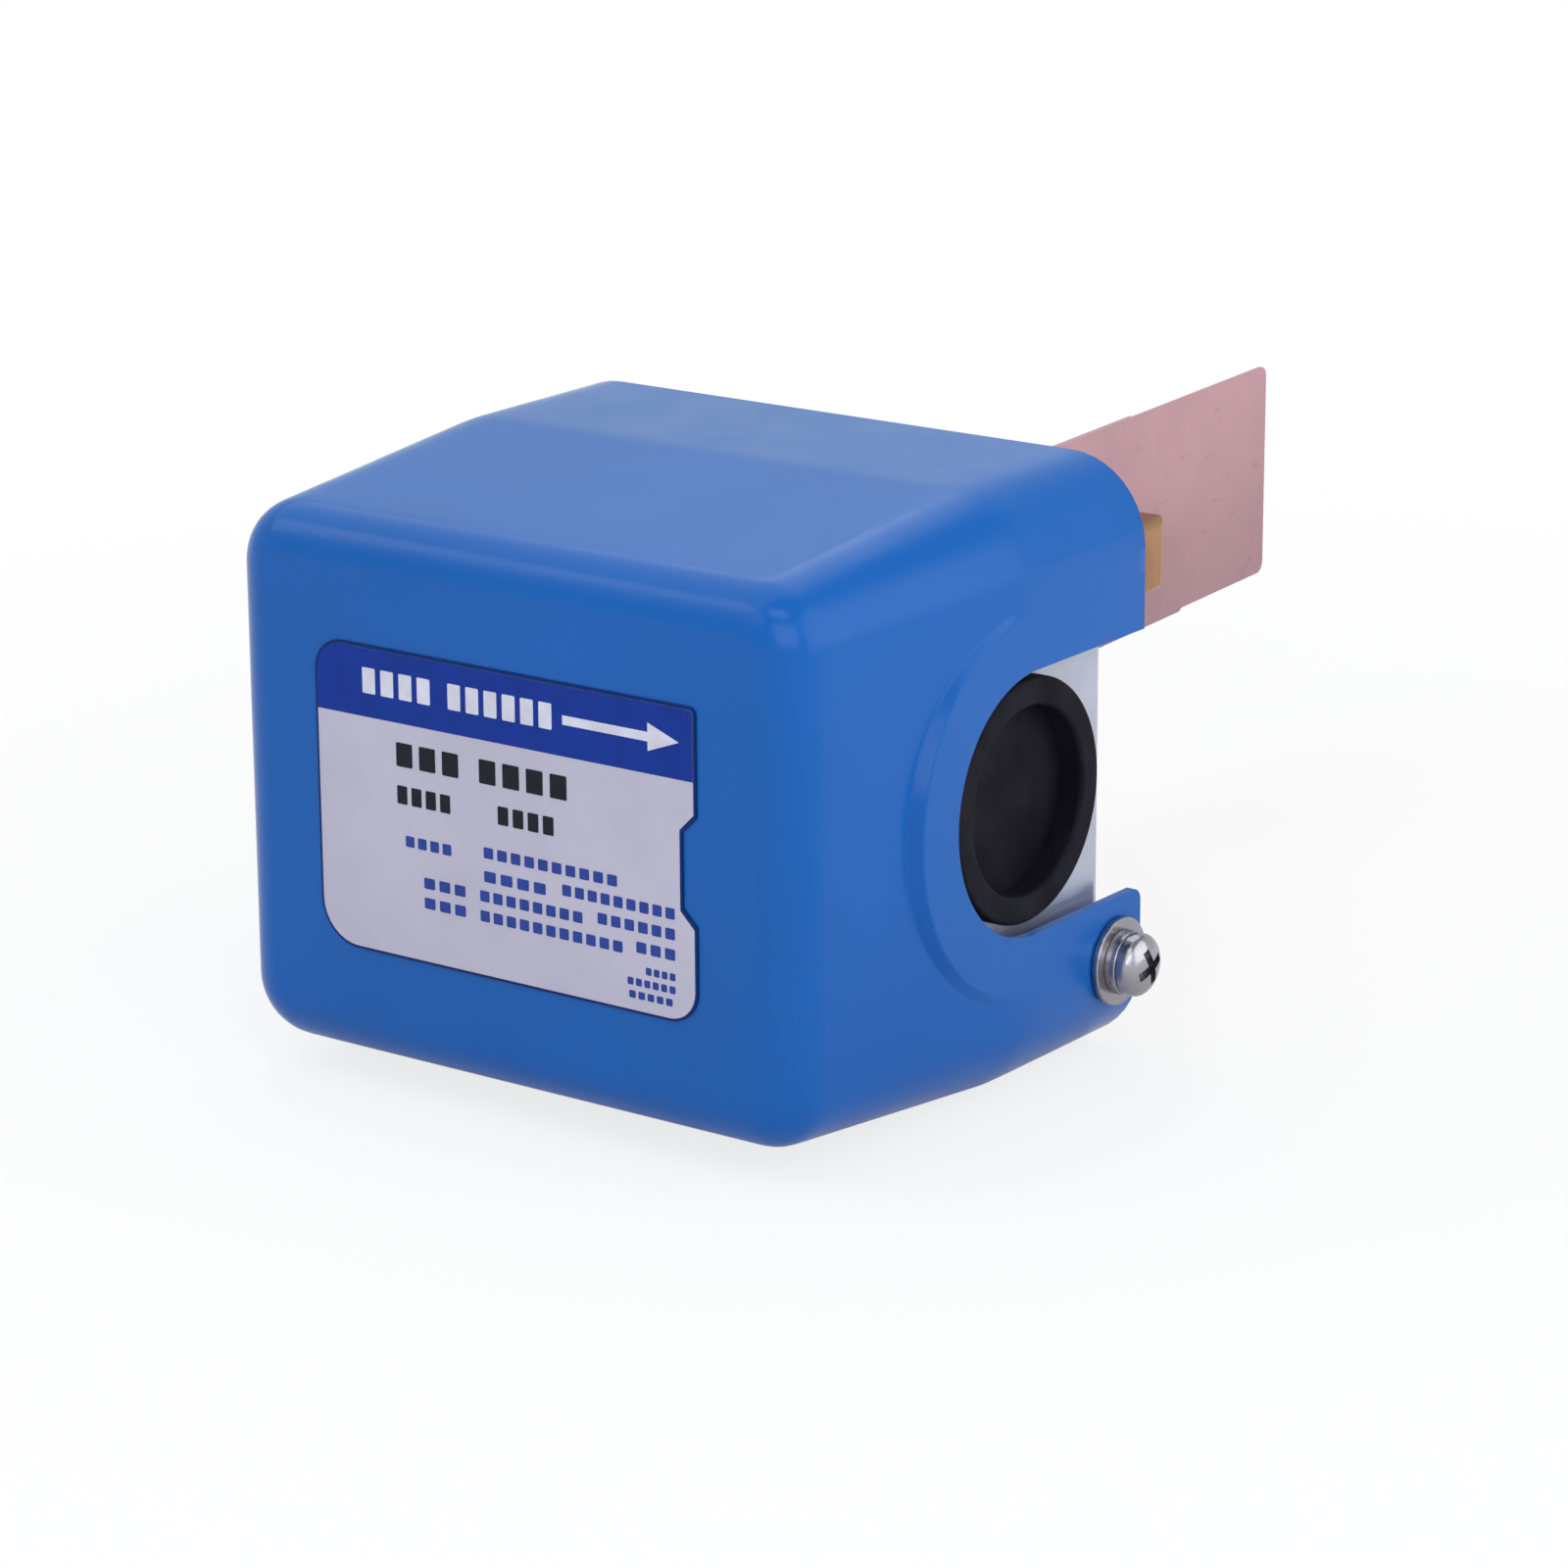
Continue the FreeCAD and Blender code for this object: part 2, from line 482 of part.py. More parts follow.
def pipe_thread():
    """Thread as rings of the pipe thread's own profile, from inside the hexagon to the chamfered end."""
    flank = THREAD_DEPTH * math.tan(math.radians(THREAD_HALF_ANGLE))
    land = THREAD_PITCH / 2 - flank
    root = THREAD_RADIUS - THREAD_DEPTH
    turns = int((THREAD_LENGTH - THREAD_CHAMFER) / THREAD_PITCH)
    points = [V(0, HEX_FRONT / 2, 0), V(THREAD_RADIUS, HEX_FRONT / 2, 0)]
    for i in range(turns):
        groove = (i + 0.5) * THREAD_PITCH
        points += [V(THREAD_RADIUS, groove - land / 2 - flank, 0), V(root, groove - land / 2, 0),
                   V(root, groove + land / 2, 0), V(THREAD_RADIUS, groove + land / 2 + flank, 0)]
    points += [V(THREAD_RADIUS, THREAD_LENGTH - THREAD_CHAMFER, 0),
               V(THREAD_RADIUS - THREAD_CHAMFER, THREAD_LENGTH, 0), V(0, THREAD_LENGTH, 0), points[0]]
    return Part.Face(Part.makePolygon(points)).revolve(V(0, 0, 0), Y, 360)


def brass_body():
    nut = hexagon(HEX_FLATS, HEX_FRONT, 0)
    corner = HEX_FLATS / math.sqrt(3)
    drum = rod(corner, V(0, HEX_FRONT, 0), V(0, 0, 0))
    drum = drum.makeChamfer(HEX_CHAMFER, edges_where(drum, lambda b: b.YMax - b.YMin < LEVEL))
    nut = nut.common(drum)
    body = joined([nut, pipe_thread()])
    cutters = [rod(BORE_RADIUS, V(0, CHAMBER_END - PAST, 0), V(0, THREAD_LENGTH + PAST, 0)),
               rod(CHAMBER_RADIUS, V(0, HEX_FRONT - PAST, 0), V(0, CHAMBER_END, 0))]
    floor = HEX_FRONT + BODY_SCREW_DEPTH
    for x, z in body_screw_places():
        cutters.append(rod(M4 + SCREW_CLEARANCE, V(x, HEX_FRONT - PAST, z), V(x, floor, z)))
    for cutter in cutters:
        body = body.cut(cutter)
    return body


def body_gasket():
    disc = ring(HEX_FLATS / 2, CHAMBER_RADIUS - RING_THICK, V(0, BASE_REAR, 0), V(0, HEX_FRONT, 0))
    holes = [bore(M4 + HOLE_GAP, V(x, BASE_REAR, z), V(x, HEX_FRONT, z)) for x, z in body_screw_places()]
    return without(disc, holes)


def body_screws():
    length = SHEET * 2 + GASKET_THICK + BODY_SCREW_DEPTH - BODY_SCREW_SPARE
    return [pan_screw(M4, length, V(x, YOKE_FACE, z), -Y) for x, z in body_screw_places()]


# ---- pivot ----------------------------------------------------------------------------------
def pivot_yoke():
    """Flange on the base, two ears for the pin and a bridge whose slot stops the arm."""
    flange = rod(YOKE_FLANGE_RADIUS, V(0, YOKE_FACE, 0), V(0, BASE_FRONT, 0))
    half, ear = EAR_WIDTH / 2, EAR_INNER
    ears = [block(-half, half, BRIDGE_Y, BASE_FRONT, z, z + SHEET) for z in (ear, -ear - SHEET)]
    bridge = block(-half, half, BRIDGE_Y, BRIDGE_Y + SHEET, -ear - SHEET, ear + SHEET)
    yoke = joined([flange, bridge] + ears)
    stop = TONGUE_THICK / 2 / math.cos(math.radians(REST_LEAN)) + YOKE_REACH * SLOPE + STOP_GAP
    height = TONGUE_HEIGHT / 2 + BRIDGE_WINDOW_GAP
    window = rod(CHAMBER_RADIUS - YOKE_LIP, V(0, YOKE_FACE, 0), V(0, BASE_FRONT, 0))
    wide = YOKE_FLANGE_RADIUS
    cutters = [window.common(block(-wide, wide, YOKE_FACE, BASE_FRONT, -ear, ear)),
               block(-stop, stop, BRIDGE_Y - PAST, BRIDGE_Y + SHEET + PAST, -height, height),
               bore(PIN_RADIUS + RUNNING_GAP, V(0, PIVOT_Y, -ear - SHEET), V(0, PIVOT_Y, ear + SHEET))]
    for x, z in body_screw_places():
        cutters.append(bore(M4 + HOLE_GAP, V(x, YOKE_FACE, z), V(x, BASE_FRONT, z)))
    for cutter in cutters:
        yoke = yoke.cut(cutter)
    return yoke


def pivot_pin():
    ear = EAR_INNER + SHEET
    shaft = rod(PIN_RADIUS, V(0, PIVOT_Y, -ear - PIN_END), V(0, PIVOT_Y, ear))
    head = rod(PIN_HEAD_RADIUS, V(0, PIVOT_Y, ear), V(0, PIVOT_Y, ear + PIN_HEAD))
    groove = ring(PIN_RADIUS + PAST, PIN_RADIUS - PIN_GROOVE_DEPTH, V(0, PIVOT_Y, -ear - PIN_GROOVE_LOW),
                  V(0, PIVOT_Y, -ear - PIN_GROOVE_TOP))
    return joined([shaft, head]).cut(groove)


def pivot_clip():
    """E-shaped clip in the pin's groove."""
    top = -EAR_INNER - SHEET - PIN_GROOVE_TOP - CLIP_GAP
    low = top - CLIP_THICK
    inner = PIN_RADIUS - PIN_GROOVE_DEPTH + RUNNING_GAP
    clip = ring(CLIP_RADIUS, inner, V(0, PIVOT_Y, low), V(0, PIVOT_Y, top))
    half = CLIP_MOUTH / 2
    return clip.cut(block(-half, half, PIVOT_Y - CLIP_RADIUS - PAST, PIVOT_Y, low - PAST, top + PAST))


# ---- paddle arm, made straight and then leant ------------------------------------------------
def leant(shape):
    """Lean a shape with the arm at rest: its paddle end goes upstream, towards -X."""
    turned = shape.copy()
    turned.rotate(V(0, PIVOT_Y, 0), Z, REST_LEAN)
    return turned


def paddle_arm():
    hub = rod(HUB_RADIUS, V(0, PIVOT_Y, -HUB_HEIGHT / 2), V(0, PIVOT_Y, HUB_HEIGHT / 2))
    tang_start = ARM_END - TANG_LENGTH
    stem = rod(ROD_RADIUS, V(0, PIVOT_Y, 0), V(0, tang_start + PAST, 0))
    high, low = TANG_HEIGHT / 2 - TANG_DROP, -TANG_HEIGHT / 2 - TANG_DROP
    tang = block(-TANG_THICK / 2, TANG_THICK / 2, tang_start, ARM_END, low, high)
    face = TANG_THICK / 2
    tang = tang.makeFillet(TANG_EDGE, edges_where(tang, lambda b: b.XMin > face - LEVEL))
    collar = rod(COLLAR_RADIUS, V(0, COLLAR_Y, 0), V(0, COLLAR_Y + COLLAR_LENGTH, 0))
    half, tall = TONGUE_THICK / 2, TONGUE_HEIGHT / 2
    tongue = block(-half, half, PIVOT_Y - TONGUE_LENGTH, PIVOT_Y, -tall, tall)
    arm = joined([hub, stem, tang, collar, tongue])
    cutters = [rod(PIN_RADIUS + RUNNING_GAP, V(0, PIVOT_Y, -HUB_HEIGHT), V(0, PIVOT_Y, HUB_HEIGHT))]
    for y in PADDLE_SCREWS:
        cutters.append(rod(M4 + SCREW_CLEARANCE, V(-face - PAST, y, 0), V(face - TANG_SCREW_FLOOR, y, 0)))
    for y in lever_screw_places():
        cutters.append(bore(M3 + SCREW_CLEARANCE, V(-half, y, 0), V(half, y, 0)))
    for cutter in cutters:
        arm = arm.cut(cutter)
    return leant(arm)


def bellows():
    """Corrugated seal from the body's ring to just short of the arm's collar."""
    start, end = HEX_FRONT + RING_THICK, COLLAR_Y - BELLOWS_GAP
    pitch = (end - start) / BELLOWS_TURNS
    outside, inside = [], []
    for i in range(BELLOWS_TURNS):
        for share, crest in BELLOWS_PROFILE:
            radius = BELLOWS_ROOT + crest * (BELLOWS_RADIUS - BELLOWS_ROOT)
            y = start + (i + share) * pitch
            outside.append(V(radius, y, 0))
            inside.append(V(radius - BELLOWS_WALL, y, 0))
    outside.append(V(BELLOWS_ROOT, end, 0))
    inside.append(V(BELLOWS_ROOT - BELLOWS_WALL, end, 0))
    profile = Part.Face(Part.makePolygon(outside + inside[::-1] + outside[:1]))
    skin = profile.revolve(V(0, 0, 0), Y, 360)
    skin.translate(V(-(COLLAR_Y + start - 2 * PIVOT_Y) / 2 * SLOPE, 0, 0))
    return skin


def bellows_ring():
    return ring(CHAMBER_RADIUS - RUNNING_GAP, RING_BORE, V(0, HEX_FRONT, 0), V(0, HEX_FRONT + RING_THICK, 0))


def lever_screw_places():
    return [PIVOT_Y - LEVER_SCREW_START - i * LEVER_SCREW_STEP for i in range(2)]


def switch_lever():
    """Steel strip screwed to the arm's tongue; its end takes the range spring."""
    tall = TONGUE_HEIGHT / 2
    rear = BRIDGE_Y - LEVER_START
    front = rear - LEVER_LENGTH
    strip = block(-LEVER_FACE, -TONGUE_THICK / 2, front, rear, -tall, tall)
    tip = edges_where(strip, lambda b: b.YMax < front + LEVEL and b.XMax - b.XMin > LEVER_THICK / 2)
    strip = strip.makeFillet(LEVER_CORNER, tip)
    holes = [bore(M3 + WASHER_GAP, V(-LEVER_FACE, y, 0), V(-TONGUE_THICK / 2, y, 0))
             for y in lever_screw_places()]
    return leant(without(strip, holes))


def lever_screws():
    length = LEVER_THICK + TONGUE_THICK - LEVER_SCREW_SHORT
    return [leant(pan_screw(M3, length, V(-LEVER_FACE, y, 0), -X)) for y in lever_screw_places()]


def spring_button():
    far = -LEVER_FACE - BUTTON_HEIGHT
    button = rod(BUTTON_RADIUS, V(far, SPRING_Y, 0), V(-LEVER_FACE, SPRING_Y, 0))
    return leant(button.makeFillet(BUTTON_EDGE, edges_where(button, lambda b: b.XMax < far + LEVEL)))


def paddle(name, layer):
    """One thin strip of the stack behind the tang. layer 0 lies on the tang."""
    face = -TANG_THICK / 2 - layer * PADDLE_THICK
    z = PADDLE_RAISE + PADDLE_SHIFTS[name]
    strip = block(face - PADDLE_THICK, face, PADDLE_START, PADDLE_TIPS[name],
                  z - PADDLE_WIDTH / 2, z + PADDLE_WIDTH / 2)
    strip = strip.makeFillet(PADDLE_CORNER, edges_where(strip, lambda b: b.XMax - b.XMin > PADDLE_THICK / 2))
    holes = [bore(M4 + WASHER_GAP, V(face - PADDLE_THICK, y, 0), V(face, y, 0)) for y in PADDLE_SCREWS]
    return leant(without(strip, holes))


def paddle_fasteners():
    stack = -TANG_THICK / 2 - len(PADDLE_TIPS) * PADDLE_THICK
    seat = stack - SPRING_WASHER_THICK
    length = TANG_THICK / 2 - TANG_SCREW_FLOOR - TANG_SCREW_SPARE - seat
    washers, screws = [], []
    for y in PADDLE_SCREWS:
        washers.append(leant(spring_washer(SPRING_WASHER_RADIUS, M4 + SPRING_WASHER_GAP, SPRING_WASHER_THICK,
                                           V(stack, y, 0), -X)))
        screws.append(leant(pan_screw(M4, length, V(seat, y, 0), -X)))
    return screws, washers


# ---- snap switch ---------------------------------------------------------------------------------
def switch_screw_places():
    x = SWITCH_GAP_X + SWITCH_DEPTH * SWITCH_SCREW_SHARE
    return [(x, side * SWITCH_SCREW_SPREAD / 2) for side in (-1, 1)]


def switch_case():
    near, far = SWITCH_GAP_X, SWITCH_GAP_X + SWITCH_DEPTH
    half = SWITCH_LENGTH / 2
    case = block(near, far, SWITCH_FRONT + SWITCH_LID, SWITCH_BACK, -half, half)
    case = case.makeFillet(SWITCH_CORNER, edges_where(case, lambda b: b.YMax - b.YMin > SWITCH_THICK / 2))
    holes = [bore(M3 + SWITCH_HOLE_GAP, V(x, SWITCH_FRONT, z), V(x, SWITCH_BACK, z))
             for x, z in switch_screw_places()]
    holes.append(rod(PLUNGER_RADIUS + SWITCH_HOLE_GAP, V(near - PAST, PLUNGER_Y, 0),
                     V(near + PLUNGER_BURIED + PLUNGER_STROKE, PLUNGER_Y, 0)))
    return without(case, holes)


def switch_lid():
    near, far = SWITCH_GAP_X, SWITCH_GAP_X + SWITCH_DEPTH
    half = SWITCH_LENGTH / 2
    lid = block(near, far, SWITCH_FRONT, SWITCH_FRONT + SWITCH_LID, -half, half)
    lid = lid.makeFillet(SWITCH_CORNER, edges_where(lid, lambda b: b.YMax - b.YMin > SWITCH_LID / 2))
    lid = lid.makeChamfer(SWITCH_LID_EDGE, edges_where(lid, lambda b: b.YMax < SWITCH_FRONT + LEVEL))
    holes = [bore(M3 + SWITCH_HOLE_GAP, V(x, SWITCH_FRONT, z), V(x, SWITCH_BACK, z))
             for x, z in switch_screw_places()]
    return without(lid, holes)


def switch_plunger():
    tip = PLUNGER_ARM * SLOPE + TONGUE_THICK / 2 / math.cos(math.radians(REST_LEAN)) + PLUNGER_GAP
    plunger = rod(PLUNGER_RADIUS, V(tip, PLUNGER_Y, 0), V(SWITCH_GAP_X + PLUNGER_BURIED, PLUNGER_Y, 0))
    return plunger.makeFillet(PLUNGER_TIP, edges_where(plunger, lambda b: b.XMax < tip + LEVEL))


def switch_screws():
    length = SWITCH_THICK + SHEET - RUNNING_GAP
    return [pan_screw(M3, length, V(x, SWITCH_FRONT, z), -Y) for x, z in switch_screw_places()]


def foot_screw_places():
    inner = SWITCH_LENGTH / 2 + SWITCH_LEG_GAP - SHEET
    near, far = SWITCH_GAP_X + FOOT_INSET, SWITCH_GAP_X + SWITCH_DEPTH
    return [((near + far) / 2, side * (inner - FOOT_REACH / 2)) for side in (-1, 1)]


def switch_bracket():
    """Table under the switch on two legs, whose feet turn in under the table."""
    near, far = SWITCH_GAP_X + TABLE_SETBACK, SWITCH_GAP_X + SWITCH_DEPTH
    outer = SWITCH_LENGTH / 2 + SWITCH_LEG_GAP
    inner = outer - SHEET
    pieces = [block(near, far, SWITCH_BACK, SWITCH_BACK + SHEET, -outer, outer)]
    for side in (-1, 1):
        z0, z1 = sorted((side * inner, side * outer))
        pieces.append(block(near, far, SWITCH_BACK, BASE_FRONT, z0, z1))
        z0, z1 = sorted((side * (inner - FOOT_REACH), side * outer))
        pieces.append(block(SWITCH_GAP_X + FOOT_INSET, far, BASE_FRONT - SHEET, BASE_FRONT, z0, z1))
    holes = [bore(M3 + SCREW_CLEARANCE, V(x, SWITCH_BACK, z), V(x, SWITCH_BACK + SHEET, z))
             for x, z in switch_screw_places()]
    holes += [bore(M3 + SCREW_CLEARANCE, V(x, BASE_FRONT - SHEET, z), V(x, BASE_FRONT, z))
              for x, z in foot_screw_places()]
    return without(joined(pieces), holes)


def bracket_screws():
    return [pan_screw(M3, 2 * SHEET, V(x, BASE_FRONT - SHEET, z), -Y) for x, z in foot_screw_places()]


def terminal_places():
    x = SWITCH_GAP_X + SWITCH_DEPTH + TERMINAL_SCREW_OUT
    return [(x, i * TERMINAL_STEP) for i in (-1, 0, 1)]


def switch_terminals():
    far = SWITCH_GAP_X + SWITCH_DEPTH
    plates = []
    for x, z in terminal_places():
        half = TERMINAL_WIDTH / 2
        end, back = far + TERMINAL_REACH, TERMINAL_Y + TERMINAL_THICK
        lug = block(far, end, TERMINAL_Y, back, z - half, z + half)
        corners = edges_where(lug, lambda b: b.XMin > end - LEVEL and b.YMax - b.YMin > TERMINAL_THICK / 2)
        lug = lug.makeFillet(TERMINAL_CORNER, corners)
        plates.append(lug.cut(bore(M3 + SCREW_CLEARANCE, V(x, TERMINAL_Y, z), V(x, back, z))))
    return plates


def terminal_fasteners():
    washers, screws = [], []
    for x, z in terminal_places():
        seat = V(x, TERMINAL_Y, z)
        washers.append(flat_washer(SMALL_WASHER_RADIUS, M3 + WASHER_GAP, SMALL_WASHER_THICK, seat, -Y))
        length = SMALL_WASHER_THICK + TERMINAL_THICK + SCREW_END
        screws.append(pan_screw(M3, length, seat - Y * SMALL_WASHER_THICK, -Y))
    return screws, washers


# ---- range spring and its adjusting screw -------------------------------------------------------------
def range_spring():
    """Helical wire between the seat cup's floor and the lever."""
    start = SEAT_X + SPRING_WIRE + SPRING_GAP
    length = SPRING_LENGTH - 2 * (SPRING_WIRE + SPRING_GAP)
    helix = Part.makeHelix(length / SPRING_TURNS, length, SPRING_RADIUS)
    section = Part.Wire(Part.makeCircle(SPRING_WIRE, V(SPRING_RADIUS, 0, 0), Y))
    coil = Part.Wire(helix).makePipeShell([section], True, True)
    return place(coil, V(start, SPRING_Y, 0), X)


def spring_seat():
    floor = SEAT_X - SEAT_FLOOR
    rim = SEAT_X + SEAT_DEPTH
    cup = rod(SEAT_RADIUS, V(floor, SPRING_Y, 0), V(rim, SPRING_Y, 0))
    inside = SPRING_RADIUS + SPRING_WIRE + SEAT_BORE_GAP
    return cup.cut(rod(inside, V(SEAT_X, SPRING_Y, 0), V(rim + PAST, SPRING_Y, 0)))


def adjusting_screw():
    """Slotted screw through the bush; its tip presses on the seat's floor."""
    tip = SEAT_X - SEAT_FLOOR - ADJUST_TIP_GAP
    seat = BUSH_END - ADJUST_HEAD_GAP - ADJUST_STROKE
    end = seat - ADJUST_HEAD
    shank = rod(ADJUST_RADIUS, V(seat, SPRING_Y, 0), V(tip, SPRING_Y, 0))
    head = rod(ADJUST_HEAD_RADIUS, V(end, SPRING_Y, 0), V(seat, SPRING_Y, 0))
    head = head.makeChamfer(ADJUST_HEAD_EDGE, edges_where(head, lambda b: b.XMax < end + LEVEL))
    reach, half = ADJUST_HEAD_RADIUS + PAST, DRIVER_SLOT / 2
    slot = block(end - PAST, end + ADJUST_HEAD / 2, SPRING_Y - reach, SPRING_Y + reach, -half, half)
    return joined([shank, head]).cut(slot)


def adjusting_bush():
    """Riveted bush in the adjusting arm, with its flange on the arm's inner face."""
    hole, inner_end = ADJUST_RADIUS + RUNNING_GAP, V(BUSH_END + BUSH_LENGTH, SPRING_Y, 0)
    neck = ring(BUSH_NECK - SCREW_CLEARANCE, hole, V(BUSH_END, SPRING_Y, 0), inner_end)
    flange = ring(BUSH_RADIUS, hole, V(ADJUST_ARM_X + SHEET, SPRING_Y, 0), inner_end)
    return joined([neck, flange])


def earth_fasteners():
    seat = V(EARTH_X, BASE_FRONT, EARTH_Z)
    washer = flat_washer(FLAT_WASHER_RADIUS, M4 + WASHER_GAP, FLAT_WASHER_THICK, seat, -Y)
    length = SHEET + FLAT_WASHER_THICK + SCREW_END
    return pan_screw(M4, length, seat - Y * FLAT_WASHER_THICK, -Y), washer


# ---- export ----------------------------------------------------------------------------------------------
def export(name, shape):
    solids = shape if isinstance(shape, list) else [shape]
    whole = Part.makeCompound(solids) if len(solids) > 1 else solids[0]
    if not whole.isValid():
        print("INVALID", name)
    print(f"{name}: {len(whole.Solids)} solids, {whole.Volume:.1f} mm3")
    whole.exportStep(f"parts/{name}.step")


def main():
    os.makedirs("parts", exist_ok=True)
    export("cover", cover())
    export("label_plate", label_plate())
    export("mounting_bracket", mounting_bracket())
    export("cable_grommet", cable_grommet())
    screws, springs, flats = cover_fasteners()
    export("cover_screws", screws)
    export("cover_spring_washers", springs)
    export("cover_flat_washers", flats)
    export("brass_body", brass_body())
    export("body_gasket", body_gasket())
    export("body_screws", body_screws())
    export("pivot_yoke", pivot_yoke())
    export("pivot_pin", pivot_pin())
    export("pivot_clip", pivot_clip())
    export("paddle_arm", paddle_arm())
    export("bellows", bellows())
    export("bellows_ring", bellows_ring())
    export("switch_lever", switch_lever())
    export("lever_screws", lever_screws())
    export("spring_button", spring_button())
    for layer, name in enumerate(PADDLE_TIPS):
        export(name, paddle(name, layer))
    screws, washers = paddle_fasteners()
    export("paddle_screws", screws)
    export("paddle_spring_washers", washers)
    export("switch_case", switch_case())
    export("switch_lid", switch_lid())
    export("switch_plunger", switch_plunger())
    export("switch_screws", switch_screws())
    export("switch_bracket", switch_bracket())
    export("bracket_screws", bracket_screws())
    export("switch_terminals", switch_terminals())
    screws, washers = terminal_fasteners()
    export("terminal_screws", screws)
    export("terminal_washers", washers)
    export("range_spring", range_spring())
    export("spring_seat", spring_seat())
    export("adjusting_screw", adjusting_screw())
    export("adjusting_bush", adjusting_bush())
    screw, washer = earth_fasteners()
    export("earth_screw", screw)
    export("earth_washer", washer)


main()
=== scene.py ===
"""The looks of the paddle flow switch: its skin, prints, thread, springs, materials, light and camera."""
import json
import math

import bmesh
import bpy
from mathutils import Matrix, Vector


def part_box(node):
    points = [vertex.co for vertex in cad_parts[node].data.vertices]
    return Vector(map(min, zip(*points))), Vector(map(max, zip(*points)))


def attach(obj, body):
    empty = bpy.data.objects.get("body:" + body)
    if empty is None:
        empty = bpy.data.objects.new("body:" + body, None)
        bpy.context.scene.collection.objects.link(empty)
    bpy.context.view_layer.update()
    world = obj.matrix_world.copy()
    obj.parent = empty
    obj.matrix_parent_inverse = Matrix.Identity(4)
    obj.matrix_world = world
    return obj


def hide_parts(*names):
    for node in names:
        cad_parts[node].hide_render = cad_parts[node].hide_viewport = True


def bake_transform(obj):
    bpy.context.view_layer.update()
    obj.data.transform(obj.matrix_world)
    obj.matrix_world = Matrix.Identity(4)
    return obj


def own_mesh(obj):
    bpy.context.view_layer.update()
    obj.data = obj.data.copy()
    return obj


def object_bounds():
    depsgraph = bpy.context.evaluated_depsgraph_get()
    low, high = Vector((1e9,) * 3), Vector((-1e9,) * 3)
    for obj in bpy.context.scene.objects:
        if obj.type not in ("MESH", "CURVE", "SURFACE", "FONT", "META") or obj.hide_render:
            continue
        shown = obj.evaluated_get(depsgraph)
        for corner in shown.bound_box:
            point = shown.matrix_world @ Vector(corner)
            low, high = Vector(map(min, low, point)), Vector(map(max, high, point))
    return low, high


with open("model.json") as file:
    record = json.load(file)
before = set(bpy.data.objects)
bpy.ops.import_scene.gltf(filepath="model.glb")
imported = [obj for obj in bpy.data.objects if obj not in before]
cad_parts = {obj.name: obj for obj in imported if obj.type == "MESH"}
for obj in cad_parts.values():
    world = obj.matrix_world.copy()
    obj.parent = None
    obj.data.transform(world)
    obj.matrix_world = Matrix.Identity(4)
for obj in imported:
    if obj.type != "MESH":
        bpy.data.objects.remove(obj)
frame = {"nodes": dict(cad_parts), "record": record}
cad_low, cad_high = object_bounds()
nodes = frame["nodes"]
MM = 0.001
WELD = 0.001 * MM                    # points closer than this are one

# ---- sizes taken from the frame --------------------------------------------------
cover_low, cover_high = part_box("cover")
label_low, label_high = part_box("label_plate")
body_low, body_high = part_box("brass_body")
grommet_low, grommet_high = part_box("cable_grommet")
screws_low, screws_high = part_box("cover_screws")

# ---- the cover's own sizes ---------------------------------------------------------
WALL = 1.0 * MM
CREASE = cover_high.y - 22.5 * MM    # walls are straight behind it and lean in before it
LEAN_X, LEAN_Z = 3.0 * MM, 3.4 * MM
CREASE_SOFTNESS = 0.6 * MM
CREASE_REACH = 30                    # the wall is straight again this many softnesses before the crease
CORNER_REAR, CORNER_FRONT = 9.6 * MM, 6.6 * MM
EDGE = 5.0 * MM                      # rounding round the label face
SLOT = 14.5 * MM                     # U slot's half width
SLOT_Y = (grommet_low.y + grommet_high.y) / 2
SLOT_CORNER = 1.5 * MM               # rounding of the slot's lower corner at the open end
CORNER_CUT = 3 * WALL                # how deep that corner is cut in from the cover's side
BOSS_IN, BOSS_OUT = 20.7 * MM, 22.0 * MM
BOSS_BEND = 0.24                     # share of the boss's slope that each of its bends takes
SCREW_SLOT = 2.25 * MM               # half width of the slots for the cover screws
RIM_BEVEL = 0.18 * MM
RIM_ANGLE = 60                       # degrees; edges sharper than this get the rim's rounding
BEVEL_SEGMENTS = 3
# Stretches of the mesh: round a corner, over the top, down a side and over the front's rounding
CORNER_STEPS, TOP_STEPS, SIDE_STEPS, ROUNDING_STEPS = 10, 24, 18, 9
# along Y: to the slot's centre, close stations just before it, and on to the front's rounding
REAR_STEPS, TURN_STEPS, FRONT_STEPS = 12, 7, 15
TURN_FROM, TURN_TO = 0.7 * MM, 5.6 * MM
# away from the slot: over the pressed flat, over its slope and over the wall beyond
FLAT_STEPS, SLOPE_STEPS, WALL_STEPS = 6, 16, 5
# round the cover screws' slots and the slot's rounded corner
SCREW_SLOT_STEPS, SLOT_CORNER_STEPS = 18, 8


# ---- node helpers ------------------------------------------------------------------
def feed(tree, socket, value):
    """Links an input to another node's output, or sets it to a value."""
    if isinstance(value, bpy.types.NodeSocket):
        tree.links.new(value, socket)
    else:
        socket.default_value = value


def add_node(tree, kind, **inputs):
    """New shader node with the inputs given; _ in an input's name stands for a space."""
    node = tree.nodes.new("ShaderNode" + kind)
    for name, value in inputs.items():
        feed(tree, node.inputs[name.replace("_", " ")], value)
    return node


def maths(tree, kind, first, second):
    node = add_node(tree, "Math")
    node.operation = kind
    feed(tree, node.inputs[0], first)
    feed(tree, node.inputs[1], second)
    return node.outputs[0]


def smooth_range(tree, value, start, end, low=0.0, high=1.0):
    """Goes smoothly from low to high while value goes from start to end."""
    node = add_node(tree, "MapRange", Value=value, From_Min=start, From_Max=end, To_Min=low, To_Max=high)
    node.interpolation_type = "SMOOTHSTEP"
    return node.outputs["Result"]


